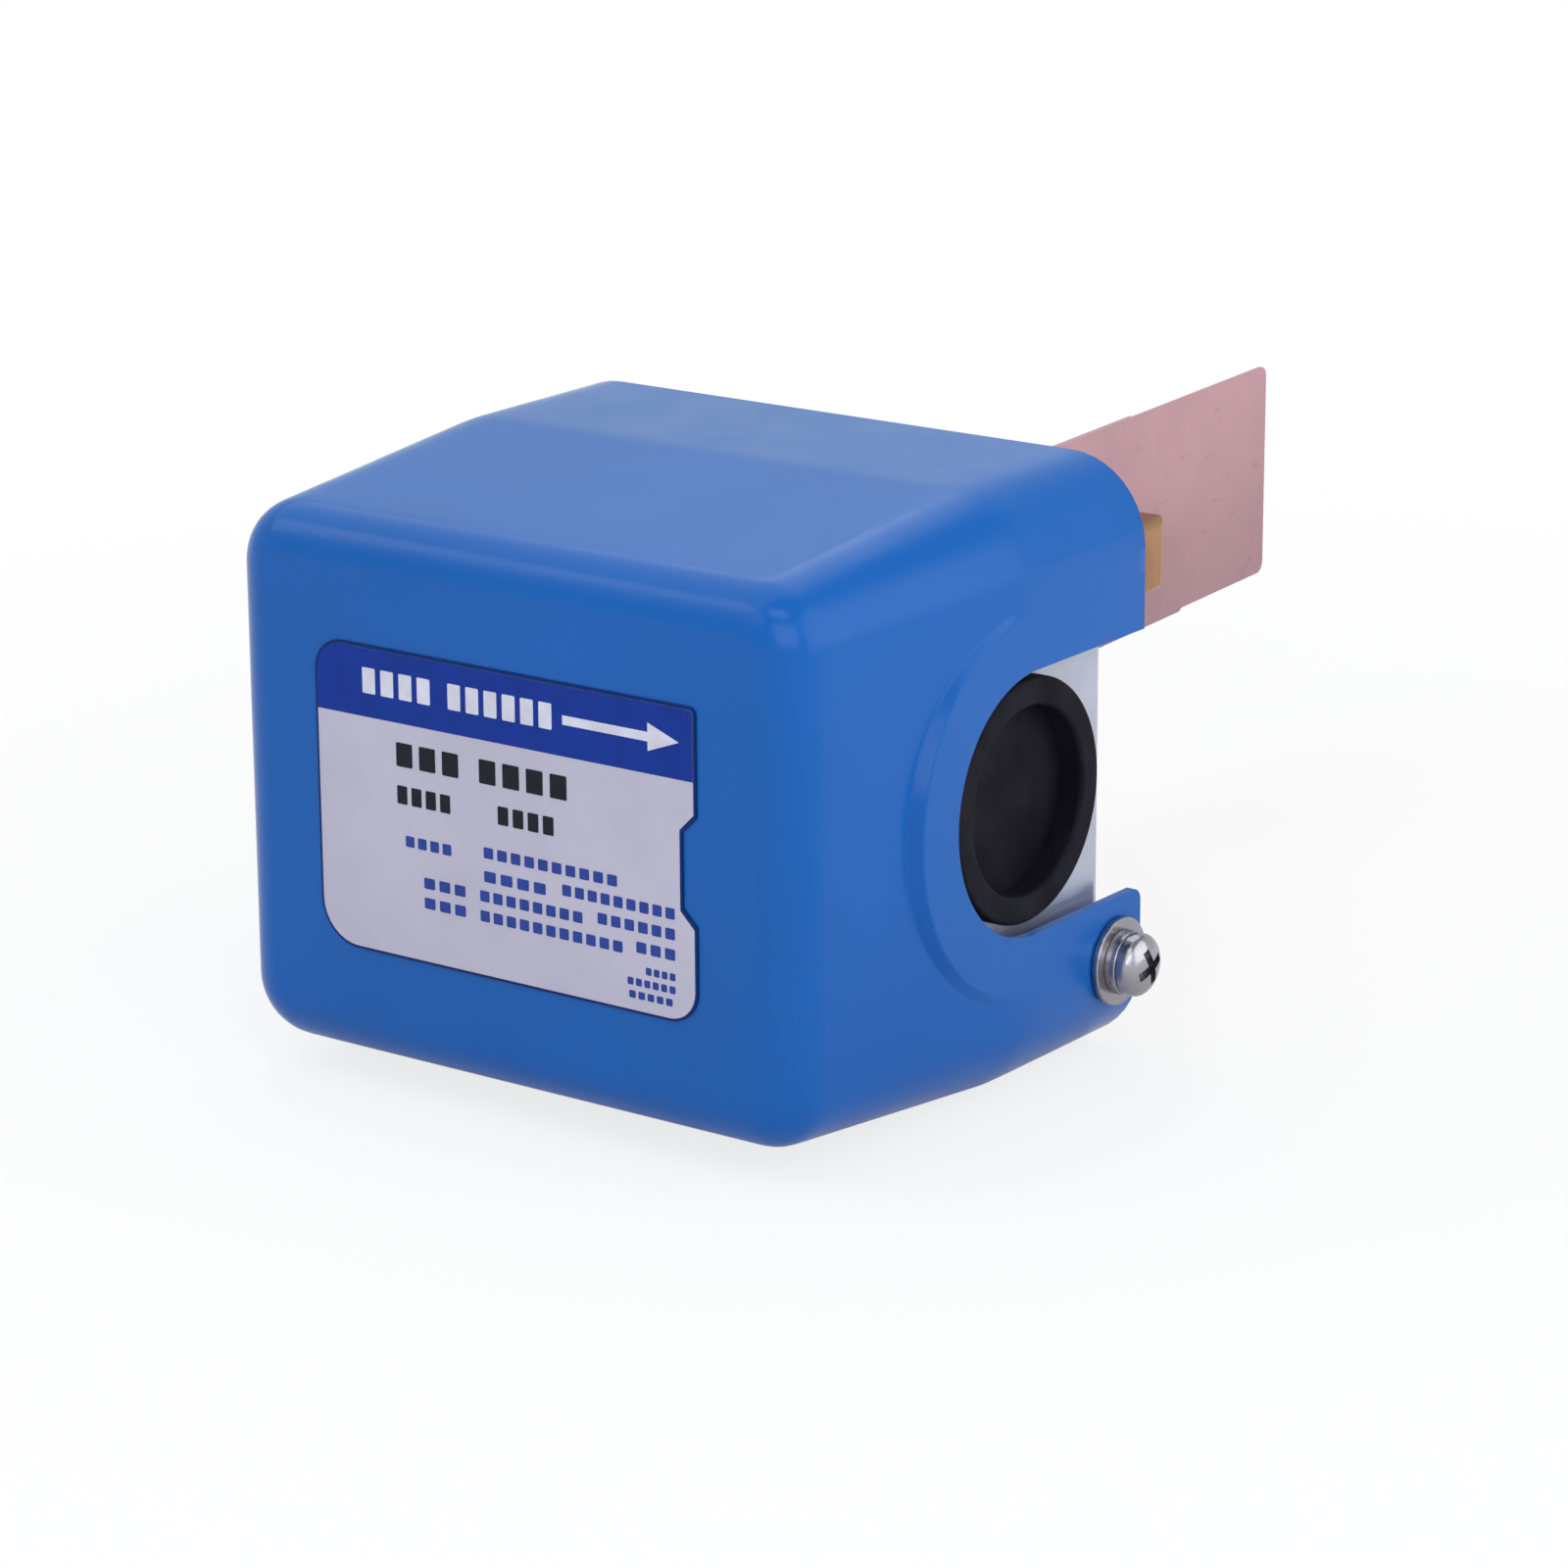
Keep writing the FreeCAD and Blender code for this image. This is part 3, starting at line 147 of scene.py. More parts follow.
def mix_shaders(tree, share, first, second):
    """A shader that is second by share, and first for the rest."""
    node = add_node(tree, "MixShader")
    for socket, output in zip(node.inputs, (share, first, second)):
        feed(tree, socket, output)
    return node.outputs[0]


def mirrored_ray(tree, path):
    """1 for what is seen in a glossy surface or through glass."""
    return maths(tree, "MAXIMUM", path.outputs["Is Glossy Ray"], path.outputs["Is Transmission Ray"])


def tinted(colour, factor):
    return tuple(min(1.0, c * factor) for c in colour)


class Finish:
    """A Principled material with room for procedural colour, roughness and bump."""
    MIX_SHARE, MIX_FIRST, MIX_SECOND, MIX_RESULT = 0, 6, 7, 2     # a Mix node's sockets for colours

    def __init__(self, name, colour, roughness, metallic=0.0, **constants):
        self.material = bpy.data.materials.new(name)
        self.material.use_nodes = True
        self.tree = self.material.node_tree
        self.shader = self.tree.nodes["Principled BSDF"]
        self.place = add_node(self.tree, "TexCoord").outputs["Object"]
        self.put("Base Color", (*colour, 1))
        self.put("Roughness", roughness)
        self.put("Metallic", metallic)
        for socket, value in constants.items():
            self.put(socket.replace("_", " "), value)

    def put(self, socket, value):
        feed(self.tree, self.shader.inputs[socket], value)

    def stretched(self, scale):
        """Object coordinates scaled unevenly, for brushed or drawn surfaces."""
        return add_node(self.tree, "Mapping", Vector=self.place, Scale=scale).outputs["Vector"]

    def noise(self, scale, detail, roughness=0.5, place=None):
        """Cloudy values from 0 to 1, with about scale clouds to the metre."""
        node = add_node(self.tree, "TexNoise", Vector=place or self.place, Scale=scale, Detail=detail,
                        Roughness=roughness)
        return node.outputs["Fac"]

    def scattered(self, scale):
        """Distance from the nearest of many scattered points, in shares of 1 / scale metres."""
        return add_node(self.tree, "TexVoronoi", Vector=self.place, Scale=scale).outputs["Distance"]

    def rise(self, axis, start, end):
        """Grows from 0 to 1 along an axis of the object, between two places."""
        split = add_node(self.tree, "SeparateXYZ", Vector=self.place)
        return smooth_range(self.tree, split.outputs[axis], start, end)

    def ramp(self, value, low, high, at=(0.0, 1.0)):
        """Goes from low to high while value goes between the two of at. Ends are rgb tuples or greys."""
        node = add_node(self.tree, "ValToRGB", Fac=value)
        for element, end, where in zip(node.color_ramp.elements, (low, high), at):
            rgb = end if isinstance(end, tuple) else (end, end, end)
            element.color = (*rgb, 1)
            element.position = where
        return node.outputs["Color"]

    def shades(self, value, colour, dark, bright, at):
        """A ramp between two shades of a colour, given as factors."""
        return self.ramp(value, tinted(colour, dark), tinted(colour, bright), at)

    def mix(self, share, first, second, kind="MIX"):
        """Lays the second colour over the first by share."""
        node = add_node(self.tree, "Mix")
        node.data_type = "RGBA"
        node.blend_type = kind
        for index, value in ((self.MIX_SHARE, share), (self.MIX_FIRST, first), (self.MIX_SECOND, second)):
            feed(self.tree, node.inputs[index], (*value, 1) if isinstance(value, tuple) else value)
        return node.outputs[self.MIX_RESULT]

    def bump(self, output, height, strength):
        node = add_node(self.tree, "Bump", Height=output, Distance=height, Strength=strength)
        self.put("Normal", node.outputs["Normal"])


# ---- finishes -------------------------------------------------------------------------
def enamel():
    """Gloss blue enamel: slow colour drift, orange peel and specks of dust under the coat."""
    blue, dust = (0.004, 0.108, 0.43), (0.12, 0.24, 0.5)
    look = Finish("blue_enamel", blue, roughness=0.2, IOR=1.3)
    drift = look.shades(look.noise(scale=22, detail=2), blue, dark=0.93, bright=1.07, at=(0.3, 0.7))
    specks = look.ramp(look.scattered(scale=420), low=1.0, high=0.0, at=(0.02, 0.05))
    few = look.ramp(look.noise(scale=60, detail=2), low=0.0, high=0.5, at=(0.62, 0.75))
    look.put("Base Color", look.mix(look.mix(1.0, specks, few, "MULTIPLY"), drift, dust))
    look.put("Roughness", look.ramp(look.noise(scale=90, detail=4), low=0.16, high=0.26, at=(0.35, 0.65)))
    look.bump(look.noise(scale=520, detail=2), height=0.02 * MM, strength=0.25)
    return look.material


def foil():
    """Label field: pale lavender foil with a faint grain."""
    pale = (0.50, 0.475, 0.595)
    look = Finish("label_foil", pale, roughness=0.42, Specular_IOR_Level=0.3)
    grain = look.noise(scale=120, detail=3)
    look.put("Base Color", look.shades(grain, pale, dark=0.96, bright=1.03, at=(0.35, 0.65)))
    look.put("Roughness", look.ramp(look.noise(scale=700, detail=2), low=0.36, high=0.5, at=(0.3, 0.7)))
    look.bump(look.noise(scale=900, detail=2), height=0.01 * MM, strength=0.2)
    return look.material


def ink_and_shadow(name, colour):
    """Printed colour that covers the foil a little unevenly; also the dark painted shadow line round the
    label.
    """
    look = Finish(name, colour, roughness=0.38, Specular_IOR_Level=0.12)
    cover = look.noise(scale=300, detail=3)
    look.put("Base Color", look.shades(cover, colour, dark=0.9, bright=1.12, at=(0.3, 0.7)))
    return look.material


def plated(name, colour, roughness=0.36):
    """Zinc plated sheet: cool bloom, fine rolling lines and a few dark specks."""
    look = Finish(name, colour, roughness, metallic=0.75)
    bloom = look.shades(look.noise(scale=55, detail=4), colour, dark=0.88, bright=1.08, at=(0.3, 0.72))
    specks = look.ramp(look.scattered(scale=260), low=1.0, high=0.0, at=(0.03, 0.06))
    look.put("Base Color", look.mix(specks, bloom, tinted(colour, 0.45)))
    lines = look.noise(scale=60, detail=3, roughness=0.6, place=look.stretched((1, 1.5, 18)))
    look.put("Roughness", look.ramp(lines, low=roughness - 0.06, high=roughness + 0.1, at=(0.35, 0.65)))
    look.bump(lines, height=0.02 * MM, strength=0.35)
    return look.material


def turned_metal(name, colour, roughness=0.3, lines=(1, 60, 1)):
    """Bright turned metal: fine tool lines across an axis and a little tarnish."""
    look = Finish(name, colour, roughness, metallic=1.0)
    tarnish = look.noise(scale=85, detail=5, roughness=0.6)
    look.put("Base Color", look.shades(tarnish, colour, dark=0.78, bright=1.05, at=(0.32, 0.68)))
    tool = look.noise(scale=45, detail=2, place=look.stretched(lines))
    look.put("Roughness", look.ramp(tool, low=roughness - 0.08, high=roughness + 0.12, at=(0.35, 0.65)))
    look.bump(tool, height=0.02 * MM, strength=0.3)
    return look.material


def strip():
    """Rolled phosphor bronze: pinkish, satin, marked by handling, with painted shade that darkens its lower
    side.
    """
    pink = (0.56, 0.32, 0.35)
    look = Finish("bronze_strip", pink, roughness=0.44, metallic=0.5)
    clouds = look.noise(scale=40, detail=4, roughness=0.6)
    tone = look.shades(clouds, pink, dark=0.86, bright=1.1, at=(0.32, 0.7))
    rolled = look.noise(scale=70, detail=3, roughness=0.6, place=look.stretched((1, 1.2, 14)))
    grain = look.mix(0.25, tone, look.shades(rolled, pink, dark=0.85, bright=1.12, at=(0.35, 0.65)))
    marks = look.noise(scale=120, detail=4, roughness=0.7, place=look.stretched((1, 1.6, 5)))
    worn = look.mix(look.ramp(marks, low=0.0, high=0.45, at=(0.60, 0.72)), grain, tinted(pink, 0.55))
    # painted shade: the strip is darkened towards its lower side, near the cover
    painted_shade_low = look.ramp(look.rise("Z", start=-12 * MM, end=14 * MM), low=0.74, high=1.0)
    look.put("Base Color", look.mix(1.0, worn, painted_shade_low, "MULTIPLY"))
    look.put("Roughness", look.ramp(rolled, low=0.38, high=0.56, at=(0.3, 0.7)))
    look.bump(rolled, height=0.03 * MM, strength=0.4)
    return look.material


def rubber():
    """Dull black rubber with a fine moulded grain."""
    dark, worn = (0.006, 0.005, 0.010), (0.013, 0.012, 0.019)
    look = Finish("black_rubber", (0.007, 0.006, 0.011), roughness=0.6, Specular_IOR_Level=0.07)
    look.put("Base Color", look.ramp(look.noise(scale=160, detail=4), low=dark, high=worn, at=(0.35, 0.7)))
    look.put("Roughness", look.ramp(look.noise(scale=240, detail=3), low=0.55, high=0.7, at=(0.3, 0.7)))
    look.bump(look.noise(scale=1500, detail=2), height=0.03 * MM, strength=0.35)
    return look.material


def moulded(name, colour, roughness=0.45):
    """Moulded plastic with a fine spark-eroded texture."""
    look = Finish(name, colour, roughness)
    tone, sheen = look.noise(scale=140, detail=4), look.noise(scale=350, detail=2)
    look.put("Base Color", look.shades(tone, colour, dark=0.85, bright=1.15, at=(0.35, 0.7)))
    look.put("Roughness", look.ramp(sheen, low=roughness - 0.07, high=roughness + 0.08, at=(0.3, 0.7)))
    look.bump(look.noise(scale=2200, detail=2), height=0.04 * MM, strength=0.4)
    return look.material


INKS_AND_SHADOW = {
    "band": ink_and_shadow("ink_band", (0.004, 0.032, 0.27)),
    "pale": ink_and_shadow("ink_pale", (0.64, 0.64, 0.76)),
    # painted shadow: the dark line round the label stands for the shade at the plate's edge
    "edge": ink_and_shadow("painted_shadow_line", (0.003, 0.022, 0.13)),
    "black": ink_and_shadow("ink_black", (0.012, 0.011, 0.02)),
    "blue": ink_and_shadow("ink_blue", (0.025, 0.055, 0.29)),
}

MATERIALS = {
    "painted_steel": enamel(),
    "foil": foil(),
    "zinc_plate": plated("zinc_plate", (0.465, 0.49, 0.585)),
    "zinc_turned": turned_metal("zinc_turned", (0.55, 0.56, 0.60), 0.32, (60, 1, 1)),
    "black_rubber": rubber(),
    "stainless_screw": turned_metal("stainless_screw", (0.40, 0.38, 0.41), 0.22),
    "brass": turned_metal("brass", (0.46, 0.235, 0.115), 0.34),
    "brass_screw": turned_metal("brass_screw", (0.74, 0.55, 0.26), 0.28),
    "green_screw": turned_metal("green_screw", (0.08, 0.36, 0.14), 0.34),
    "phosphor_bronze": strip(),
    "spring_steel": turned_metal("spring_steel", (0.44, 0.44, 0.46), 0.3, (50, 1, 1)),
    "switch_case": moulded("switch_case", (0.03, 0.028, 0.027)),
    "switch_lid": moulded("switch_lid", (0.055, 0.052, 0.05), 0.4),
    "plunger_plastic": moulded("plunger_plastic", (0.42, 0.05, 0.035), 0.3),
}


def smoothstep(t):
    t = min(1.0, max(0.0, t))
    return t * t * (3 - 2 * t)


def pressed(t, bend):
    """Rises from 0 to 1 as a straight slope between two round bends."""
    t = min(1.0, max(0.0, t))
    if t > 0.5:
        return 1 - pressed(1 - t, bend)
    steep = 1 / (1 - bend)
    return steep * t * t / (2 * bend) if t < bend else steep * (t - bend / 2)


def steps(start, end, count):
    """count + 1 even values from start to end."""
    return [start + (end - start) * i / count for i in range(count + 1)]


def round_angles(count):
    """Even angles round a whole turn, in radians."""
    return [2 * math.pi * i / count for i in range(count)]


def dress(obj, material):
    obj.data.materials.clear()
    obj.data.materials.append(material)


def new_piece(name, bm, material, body, smooth_angle=30):
    """Makes a mesh object from a bmesh, shades it and rides it on a body, if one is given.

    Edges sharper than smooth_angle, in degrees, stay sharp."""
    mesh = bpy.data.meshes.new(name)
    bmesh.ops.remove_doubles(bm, verts=bm.verts, dist=WELD)
    bmesh.ops.recalc_face_normals(bm, faces=bm.faces)
    bm.to_mesh(mesh)
    bm.free()
    mesh.shade_smooth()
    mesh.set_sharp_from_angle(angle=math.radians(smooth_angle))
    obj = bpy.data.objects.new(name, mesh)
    bpy.context.scene.collection.objects.link(obj)
    dress(obj, material)
    if body:
        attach(obj, body)
    return obj


def add_grid(bm, rows, closed=False):
    """Quads between rows of points. closed joins the last point of a row to its first."""
    made = [[bm.verts.new(p) for p in row] for row in rows]
    count = len(made[0])
    for low, high in zip(made, made[1:]):
        for i in range(count if closed else count - 1):
            j = (i + 1) % count
            bm.faces.new((low[i], low[j], high[j], high[i]))
    return made


def add_capped(bm, rows):
    """Closed tube or prism through rows of points, with a face on its first and its last row."""
    made = add_grid(bm, rows, closed=True)
    bm.faces.new(made[0])
    bm.faces.new(made[-1][::-1])


def apply_modifiers(obj):
    """Replaces an object's mesh by what its modifiers make of it."""
    depsgraph = bpy.context.evaluated_depsgraph_get()
    mesh = bpy.data.meshes.new_from_object(obj.evaluated_get(depsgraph))
    obj.modifiers.clear()
    obj.data = mesh


def cut_away(obj, outline, x0, x1):
    """Cuts a prism along X out of a mesh. outline holds (y, z) points."""
    bm = bmesh.new()
    add_capped(bm, [[(x, *p) for p in outline] for x in (x0, x1)])
    mesh = bpy.data.meshes.new("cutter")
    bmesh.ops.recalc_face_normals(bm, faces=bm.faces)
    bm.to_mesh(mesh)
    bm.free()
    cutter = bpy.data.objects.new("cutter", mesh)
    bpy.context.scene.collection.objects.link(cutter)
    cut = obj.modifiers.new("cut", "BOOLEAN")
    cut.object, cut.operation, cut.solver = cutter, "DIFFERENCE", "EXACT"
    apply_modifiers(obj)
    bpy.data.objects.remove(cutter)


def round_edges(obj, width, **limits):
    """Bevels an object's sharp edges by width."""
    edge = obj.modifiers.new("edge", "BEVEL")
    edge.width, edge.segments, edge.limit_method = width, BEVEL_SEGMENTS, "ANGLE"
    for name, value in limits.items():
        setattr(edge, name, value)


# ---- cover shell --------------------------------------------------------------------
def lean_at(y):
    """0 behind the crease, growing evenly to 1 at the label face, with a soft bend."""
    t = (CREASE - y) / CREASE_SOFTNESS
    soft = t if t > CREASE_REACH else math.log1p(math.exp(t))
    return soft * CREASE_SOFTNESS / (CREASE - cover_low.y)


def section(y, inset=0.0):
    """(left, right, half height, corner radius) of the cover at y, pulled in by inset."""
    lean = lean_at(y)
    half = (cover_high.z - cover_low.z) / 2 - LEAN_Z * lean - inset
    radius = CORNER_REAR + (CORNER_FRONT - CORNER_REAR) * min(1.0, lean) - inset
    return cover_low.x + LEAN_X * lean + inset, cover_high.x - LEAN_X * lean - inset, half, radius


def boss_x(y, z):
    """Right wall's x, with the flat pressed round the U slot."""
    right = section(y)[1]
    off = math.hypot(y - SLOT_Y, z) if y < SLOT_Y else abs(z)
    return right + (cover_high.x - right) * pressed((BOSS_OUT - off) / (BOSS_OUT - BOSS_IN), BOSS_BEND)


def outline_points(y, inset, sides, with_right=True):
    """Points round the cover at y: from the right wall's top, over the top and the left, to its bottom.

    sides are the heights along the right and left walls, as shares of the straight part from top to bottom.
    with_right adds the points up the right wall."""
    left, right, half, radius = section(y, inset)
    span = half - radius
    points = []

    def arc(cx, cz, start):
        for angle in steps(start, start + 90, CORNER_STEPS)[1:-1]:
            a = math.radians(angle)
            points.append((cx + radius * math.cos(a), y, cz + radius * math.sin(a)))

    points.append((right, y, span))
    arc(right - radius, span, 0)
    points.extend((x, y, half) for x in steps(right - radius, left + radius, TOP_STEPS))
    arc(left + radius, span, 90)
    points.extend((left, y, span * s) for s in sides)
    arc(left + radius, -span, 180)
    points.extend((x, y, -half) for x in steps(left + radius, right - radius, TOP_STEPS))
    arc(right - radius, -span, 270)
    points.append((right, y, -span))
    if with_right:
        points.extend((right, y, span * s) for s in sides[-2:0:-1])
    return points


def add_right_wall(bm, rear, front, sides):
    """Right wall with the U slot and its pressed flat, along rays from the slot's edge to its border."""
    border = []
    for y in rear + front:
        _, _, half, radius = section(y)
        border.append((y, half - radius))
    face_y, face_z = border[-1]
    border += [(face_y, face_z * s) for s in sides[1:SIDE_STEPS // 2 + 1]]
    slot_edge = [(y, SLOT) for y in rear]
    for y, z in border[len(rear):]:
        a = math.atan2(z, y - SLOT_Y)
        slot_edge.append((SLOT_Y + SLOT * math.cos(a), SLOT * math.sin(a)))
    border += [(y, -z) for y, z in border[-2::-1]]
    slot_edge += [(y, -z) for y, z in slot_edge[-2::-1]]

    pressed_flat = steps(0.0, BOSS_IN - SLOT, FLAT_STEPS)
    slope = steps(BOSS_IN - SLOT, BOSS_OUT - SLOT, SLOPE_STEPS)
    rows = []
    for (y0, z0), (y1, z1) in zip(slot_edge, border):
        length = math.hypot(y1 - y0, z1 - z0)
        row = []
        for off in pressed_flat + slope[1:] + steps(BOSS_OUT - SLOT, length, WALL_STEPS)[1:]:
            y, z = y0 + (y1 - y0) * off / length, z0 + (z1 - z0) * off / length
            row.append((boss_x(y, z), y, z))
        rows.append(row)
    add_grid(bm, rows)


def add_front(bm, sides):
    """The rounding round the label face, and the face itself."""
    rings = []
    for angle in steps(90, 0, ROUNDING_STEPS):
        a = math.radians(angle)
        y = cover_low.y + EDGE * (1 - math.cos(a))
        rings.append(outline_points(y, EDGE * (1 - math.sin(a)), sides))
    made = add_grid(bm, rings, closed=True)
    bm.faces.new(made[-1])


def arc_points(cy, cz, radius, start, end, count):
    """(y, z) points on an arc; angles in degrees from +y towards +z."""
    return [(cy + radius * math.cos(math.radians(a)), cz + radius * math.sin(math.radians(a)))
            for a in steps(start, end, count)]


def cut_slots(obj):
    """Open-ended slots for the two cover screws, and the U slot's rounded lower corner."""
    washers_low, washers_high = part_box("cover_flat_washers")
    y, z = (washers_low.y + washers_high.y) / 2, (washers_low.z + washers_high.z) / 2
    rear, past = cover_high.y, cover_high.y + WALL
    screw_slot = arc_points(y, z, SCREW_SLOT, 90, 270, SCREW_SLOT_STEPS)
    screw_slot += [(past, z - SCREW_SLOT), (past, z + SCREW_SLOT)]
    cut_away(obj, screw_slot, cover_low.x - WALL, cover_high.x + WALL)
    corner = arc_points(rear - SLOT_CORNER, -SLOT - SLOT_CORNER, SLOT_CORNER, 0, 90, SLOT_CORNER_STEPS)
    corner += [(rear - SLOT_CORNER, -SLOT + WALL), (past, -SLOT + WALL), (past, -SLOT - SLOT_CORNER)]
    cut_away(obj, corner, cover_high.x - CORNER_CUT, cover_high.x + WALL)


def cover_shell():
    """Drawn cover: lofted walls, rounded front, U slot with its pressed flat, open rear."""
    rear = steps(cover_high.y, SLOT_Y, REAR_STEPS)
    front = [SLOT_Y - gap for gap in steps(TURN_FROM, TURN_TO, TURN_STEPS)]
    front += steps(front[-1], cover_low.y + EDGE, FRONT_STEPS)[1:]
    sides = steps(1.0, -1.0, SIDE_STEPS)
    bm = bmesh.new()
    add_grid(bm, [outline_points(y, 0.0, sides, with_right=False) for y in rear + front])
    add_right_wall(bm, rear, front, sides)
    add_front(bm, sides)
    obj = new_piece("cover_shell", bm, MATERIALS["painted_steel"], "cover", smooth_angle=40)
    solid = obj.modifiers.new("wall", "SOLIDIFY")
    solid.thickness, solid.offset, solid.use_even_offset = WALL, -1, True
    round_edges(obj, RIM_BEVEL, angle_limit=math.radians(RIM_ANGLE))
    apply_modifiers(obj)
    cut_slots(obj)
    obj.modifiers.new("normals", "WEIGHTED_NORMAL").keep_sharp = True
    apply_modifiers(obj)
    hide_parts("cover")


# ---- label -------------------------------------------------------------------------------
PRINT_THICK = 0.03 * MM
LABEL_CORNERS = (0.8 * MM, 3.6 * MM, 5.0 * MM, 3.6 * MM)   # right-top, left-top, left-bottom, right-bottom
NOTCH_TOP, NOTCH_LENGTH, NOTCH_DEPTH = 11.6 * MM, 11.6 * MM, 1.8 * MM
BAND_HEIGHT = 7.8 * MM
BAR_ROUND = 0.15 * MM
# width of the painted shadow line that shows round the foil
LABEL_EDGE = 0.3 * MM
ROUND_STEPS = 8                      # of a rounded corner in the label's plane
# Rows of plain blocks where lines of print would be: ink, blocks in the row, then left, right, top and
# bottom in mm from the label's top left corner
BARS = (
    ("pale", 4, 6.6, 15.8, 2.4, 5.2),
    ("pale", 6, 18.2, 32.0, 2.4, 5.2),
    ("black", 3, 11.0, 19.4, 9.9, 12.5),
    ("black", 4, 22.2, 33.8, 9.9, 12.5),
    ("black", 4, 11.0, 18.2, 14.6, 16.6),
    ("black", 4, 24.6, 32.0, 14.6, 16.6),
    ("blue", 4, 12.0, 18.2, 20.0, 21.2),
    ("blue", 10, 22.6, 40.2, 19.4, 20.6),
    ("blue", 4, 22.6, 30.8, 22.0, 23.2),
    ("blue", 9, 33.0, 47.6, 21.6, 22.8),
    ("blue", 3, 14.4, 20.0, 24.2, 25.4),
    ("blue", 8, 22.0, 35.6, 24.2, 25.4),
    ("blue", 6, 37.6, 47.6, 23.8, 25.0),
    ("blue", 3, 14.4, 20.0, 26.4, 27.6),
    ("blue", 11, 22.0, 40.8, 26.4, 27.6),
    ("blue", 3, 42.6, 47.6, 26.0, 27.2),
    ("blue", 4, 43.8, 47.6, 28.6, 29.4),
    ("blue", 6, 41.4, 47.6, 30.0, 30.8),
    ("blue", 5, 41.6, 47.2, 31.4, 32.2),
)
BLOCK_SHARE = 0.7                    # of its row's pitch that a block takes
ARROW_TAIL, ARROW_TIP, ARROW_DOWN = 33.4 * MM, 48.4 * MM, 3.9 * MM     # from the same corner
ARROW_SHAFT, ARROW_HEAD, ARROW_HEAD_LENGTH = 1.0 * MM, 3.0 * MM, 4.0 * MM


def rounded_corner(x, z, toward_x, toward_z, radius):
    """Arc of a corner at (x, z) whose sides run toward_x and toward_z, from its x side to its z side."""
    cx, cz = x + toward_x * radius, z + toward_z * radius
    arc = [math.radians(a) for a in steps(0, 90, ROUND_STEPS)]
    return [(cx - toward_x * radius * math.sin(a), cz - toward_z * radius * math.cos(a)) for a in arc]


def rounded_rectangle(x0, x1, z0, z1, radii):
    """Points round a rectangle, counter-clockwise from its right top corner."""
    right_top, left_top, left_bottom, right_bottom = radii
    return (rounded_corner(x1, z1, -1, -1, right_top)[::-1] + rounded_corner(x0, z1, 1, -1, left_top)
            + rounded_corner(x0, z0, 1, 1, left_bottom)[::-1] + rounded_corner(x1, z0, -1, 1, right_bottom))


def label_outline(inset):
    """Points round the label with its notch, pulled in by inset."""
    right, top = label_high.x - inset, label_high.z
    notch_start, notch_end = top - NOTCH_TOP + inset, top - NOTCH_TOP - NOTCH_LENGTH - inset
    notch = [(right, notch_end), (right - NOTCH_DEPTH, notch_end + NOTCH_DEPTH),
             (right - NOTCH_DEPTH, notch_start - NOTCH_DEPTH), (right, notch_start)]
    radii = [corner - inset for corner in LABEL_CORNERS]
    return rounded_rectangle(label_low.x + inset, right, label_low.z + inset, top - inset, radii) + notch


def label_blocks(left, top):
    """Outlines of the plain blocks, by ink."""
    blocks_by_ink = {}
    for ink_name, blocks, x0, x1, z0, z1 in BARS:
        pitch = (x1 - x0) * MM / (blocks - 1 + BLOCK_SHARE)
        for i in range(blocks):
            near = left + x0 * MM + i * pitch
            block = rounded_rectangle(near, near + BLOCK_SHARE * pitch, top - z1 * MM, top - z0 * MM,
                                      [BAR_ROUND] * 4)
            blocks_by_ink.setdefault(ink_name, []).append(block)
    return blocks_by_ink


def label_arrow(left, top):
    """Outline of the arrow that shows the flow."""
    tail, tip, z = left + ARROW_TAIL, left + ARROW_TIP, top - ARROW_DOWN
    neck, shaft, head = tip - ARROW_HEAD_LENGTH, ARROW_SHAFT / 2, ARROW_HEAD / 2
    return [(tail, z - shaft), (neck, z - shaft), (neck, z - head), (tip, z), (neck, z + head),
            (neck, z + shaft), (tail, z + shaft)]


def flat_layer(name, outlines, front, rear, material):
    """Flat outlines in x and z on the cover's face, made solid from front to rear."""
    bm = bmesh.new()
    for outline in outlines:
        add_capped(bm, [[(x, y, z) for x, z in outline] for y in (front, rear)])
    return new_piece(name, bm, material, "cover")


def label():
    """Foil plate with its notch and a dark painted shadow line round it, and thin prints on it: a band, an
    arrow and plain blocks.
    """
    left, top, front, back = label_low.x, label_high.z, label_low.y, label_high.y
    face = front + PRINT_THICK
    foil_plate = flat_layer("label_foil", [label_outline(LABEL_EDGE)], face, back, MATERIALS["foil"])
    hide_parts("label_plate")
    # painted shadow: a dark sheet under the foil's edge stands for the plate's shadow line
    flat_layer("painted_shadow_rim", [label_outline(0.0)], face + PRINT_THICK, back, INKS_AND_SHADOW["edge"])
    radii = (LABEL_CORNERS[0] - LABEL_EDGE, LABEL_CORNERS[1] - LABEL_EDGE, 0, 0)
    band = rounded_rectangle(left + LABEL_EDGE, label_high.x - LABEL_EDGE, top - BAND_HEIGHT,
                             top - LABEL_EDGE, radii)
    flat_layer("print_band", [band], front + PRINT_THICK / 2, face, INKS_AND_SHADOW["band"])
    blocks = label_blocks(left, top)
    blocks["pale"].append(label_arrow(left, top))
    for ink_name, outlines in blocks.items():
        flat_layer("print_" + ink_name, outlines, front, face, INKS_AND_SHADOW[ink_name])


# ---- cover screws ------------------------------------------------------------------------
HEAD_HEIGHT, HEAD_EDGE = 2.6 * MM, 0.8 * MM      # whole pan head, and its straight rim
HEAD_CHAMFER = 0.15 * MM                         # of the head's underside
SHANK_RADIUS, SHANK_LENGTH = 2.0 * MM, 4.9 * MM
CROSS_REACH, CROSS_HALF, CROSS_DEPTH = 2.1 * MM, 0.52 * MM, 1.5 * MM
CROSS_TURN = 22                                  # degrees
SCREW_SEGMENTS, DOME_STEPS = 48, 10


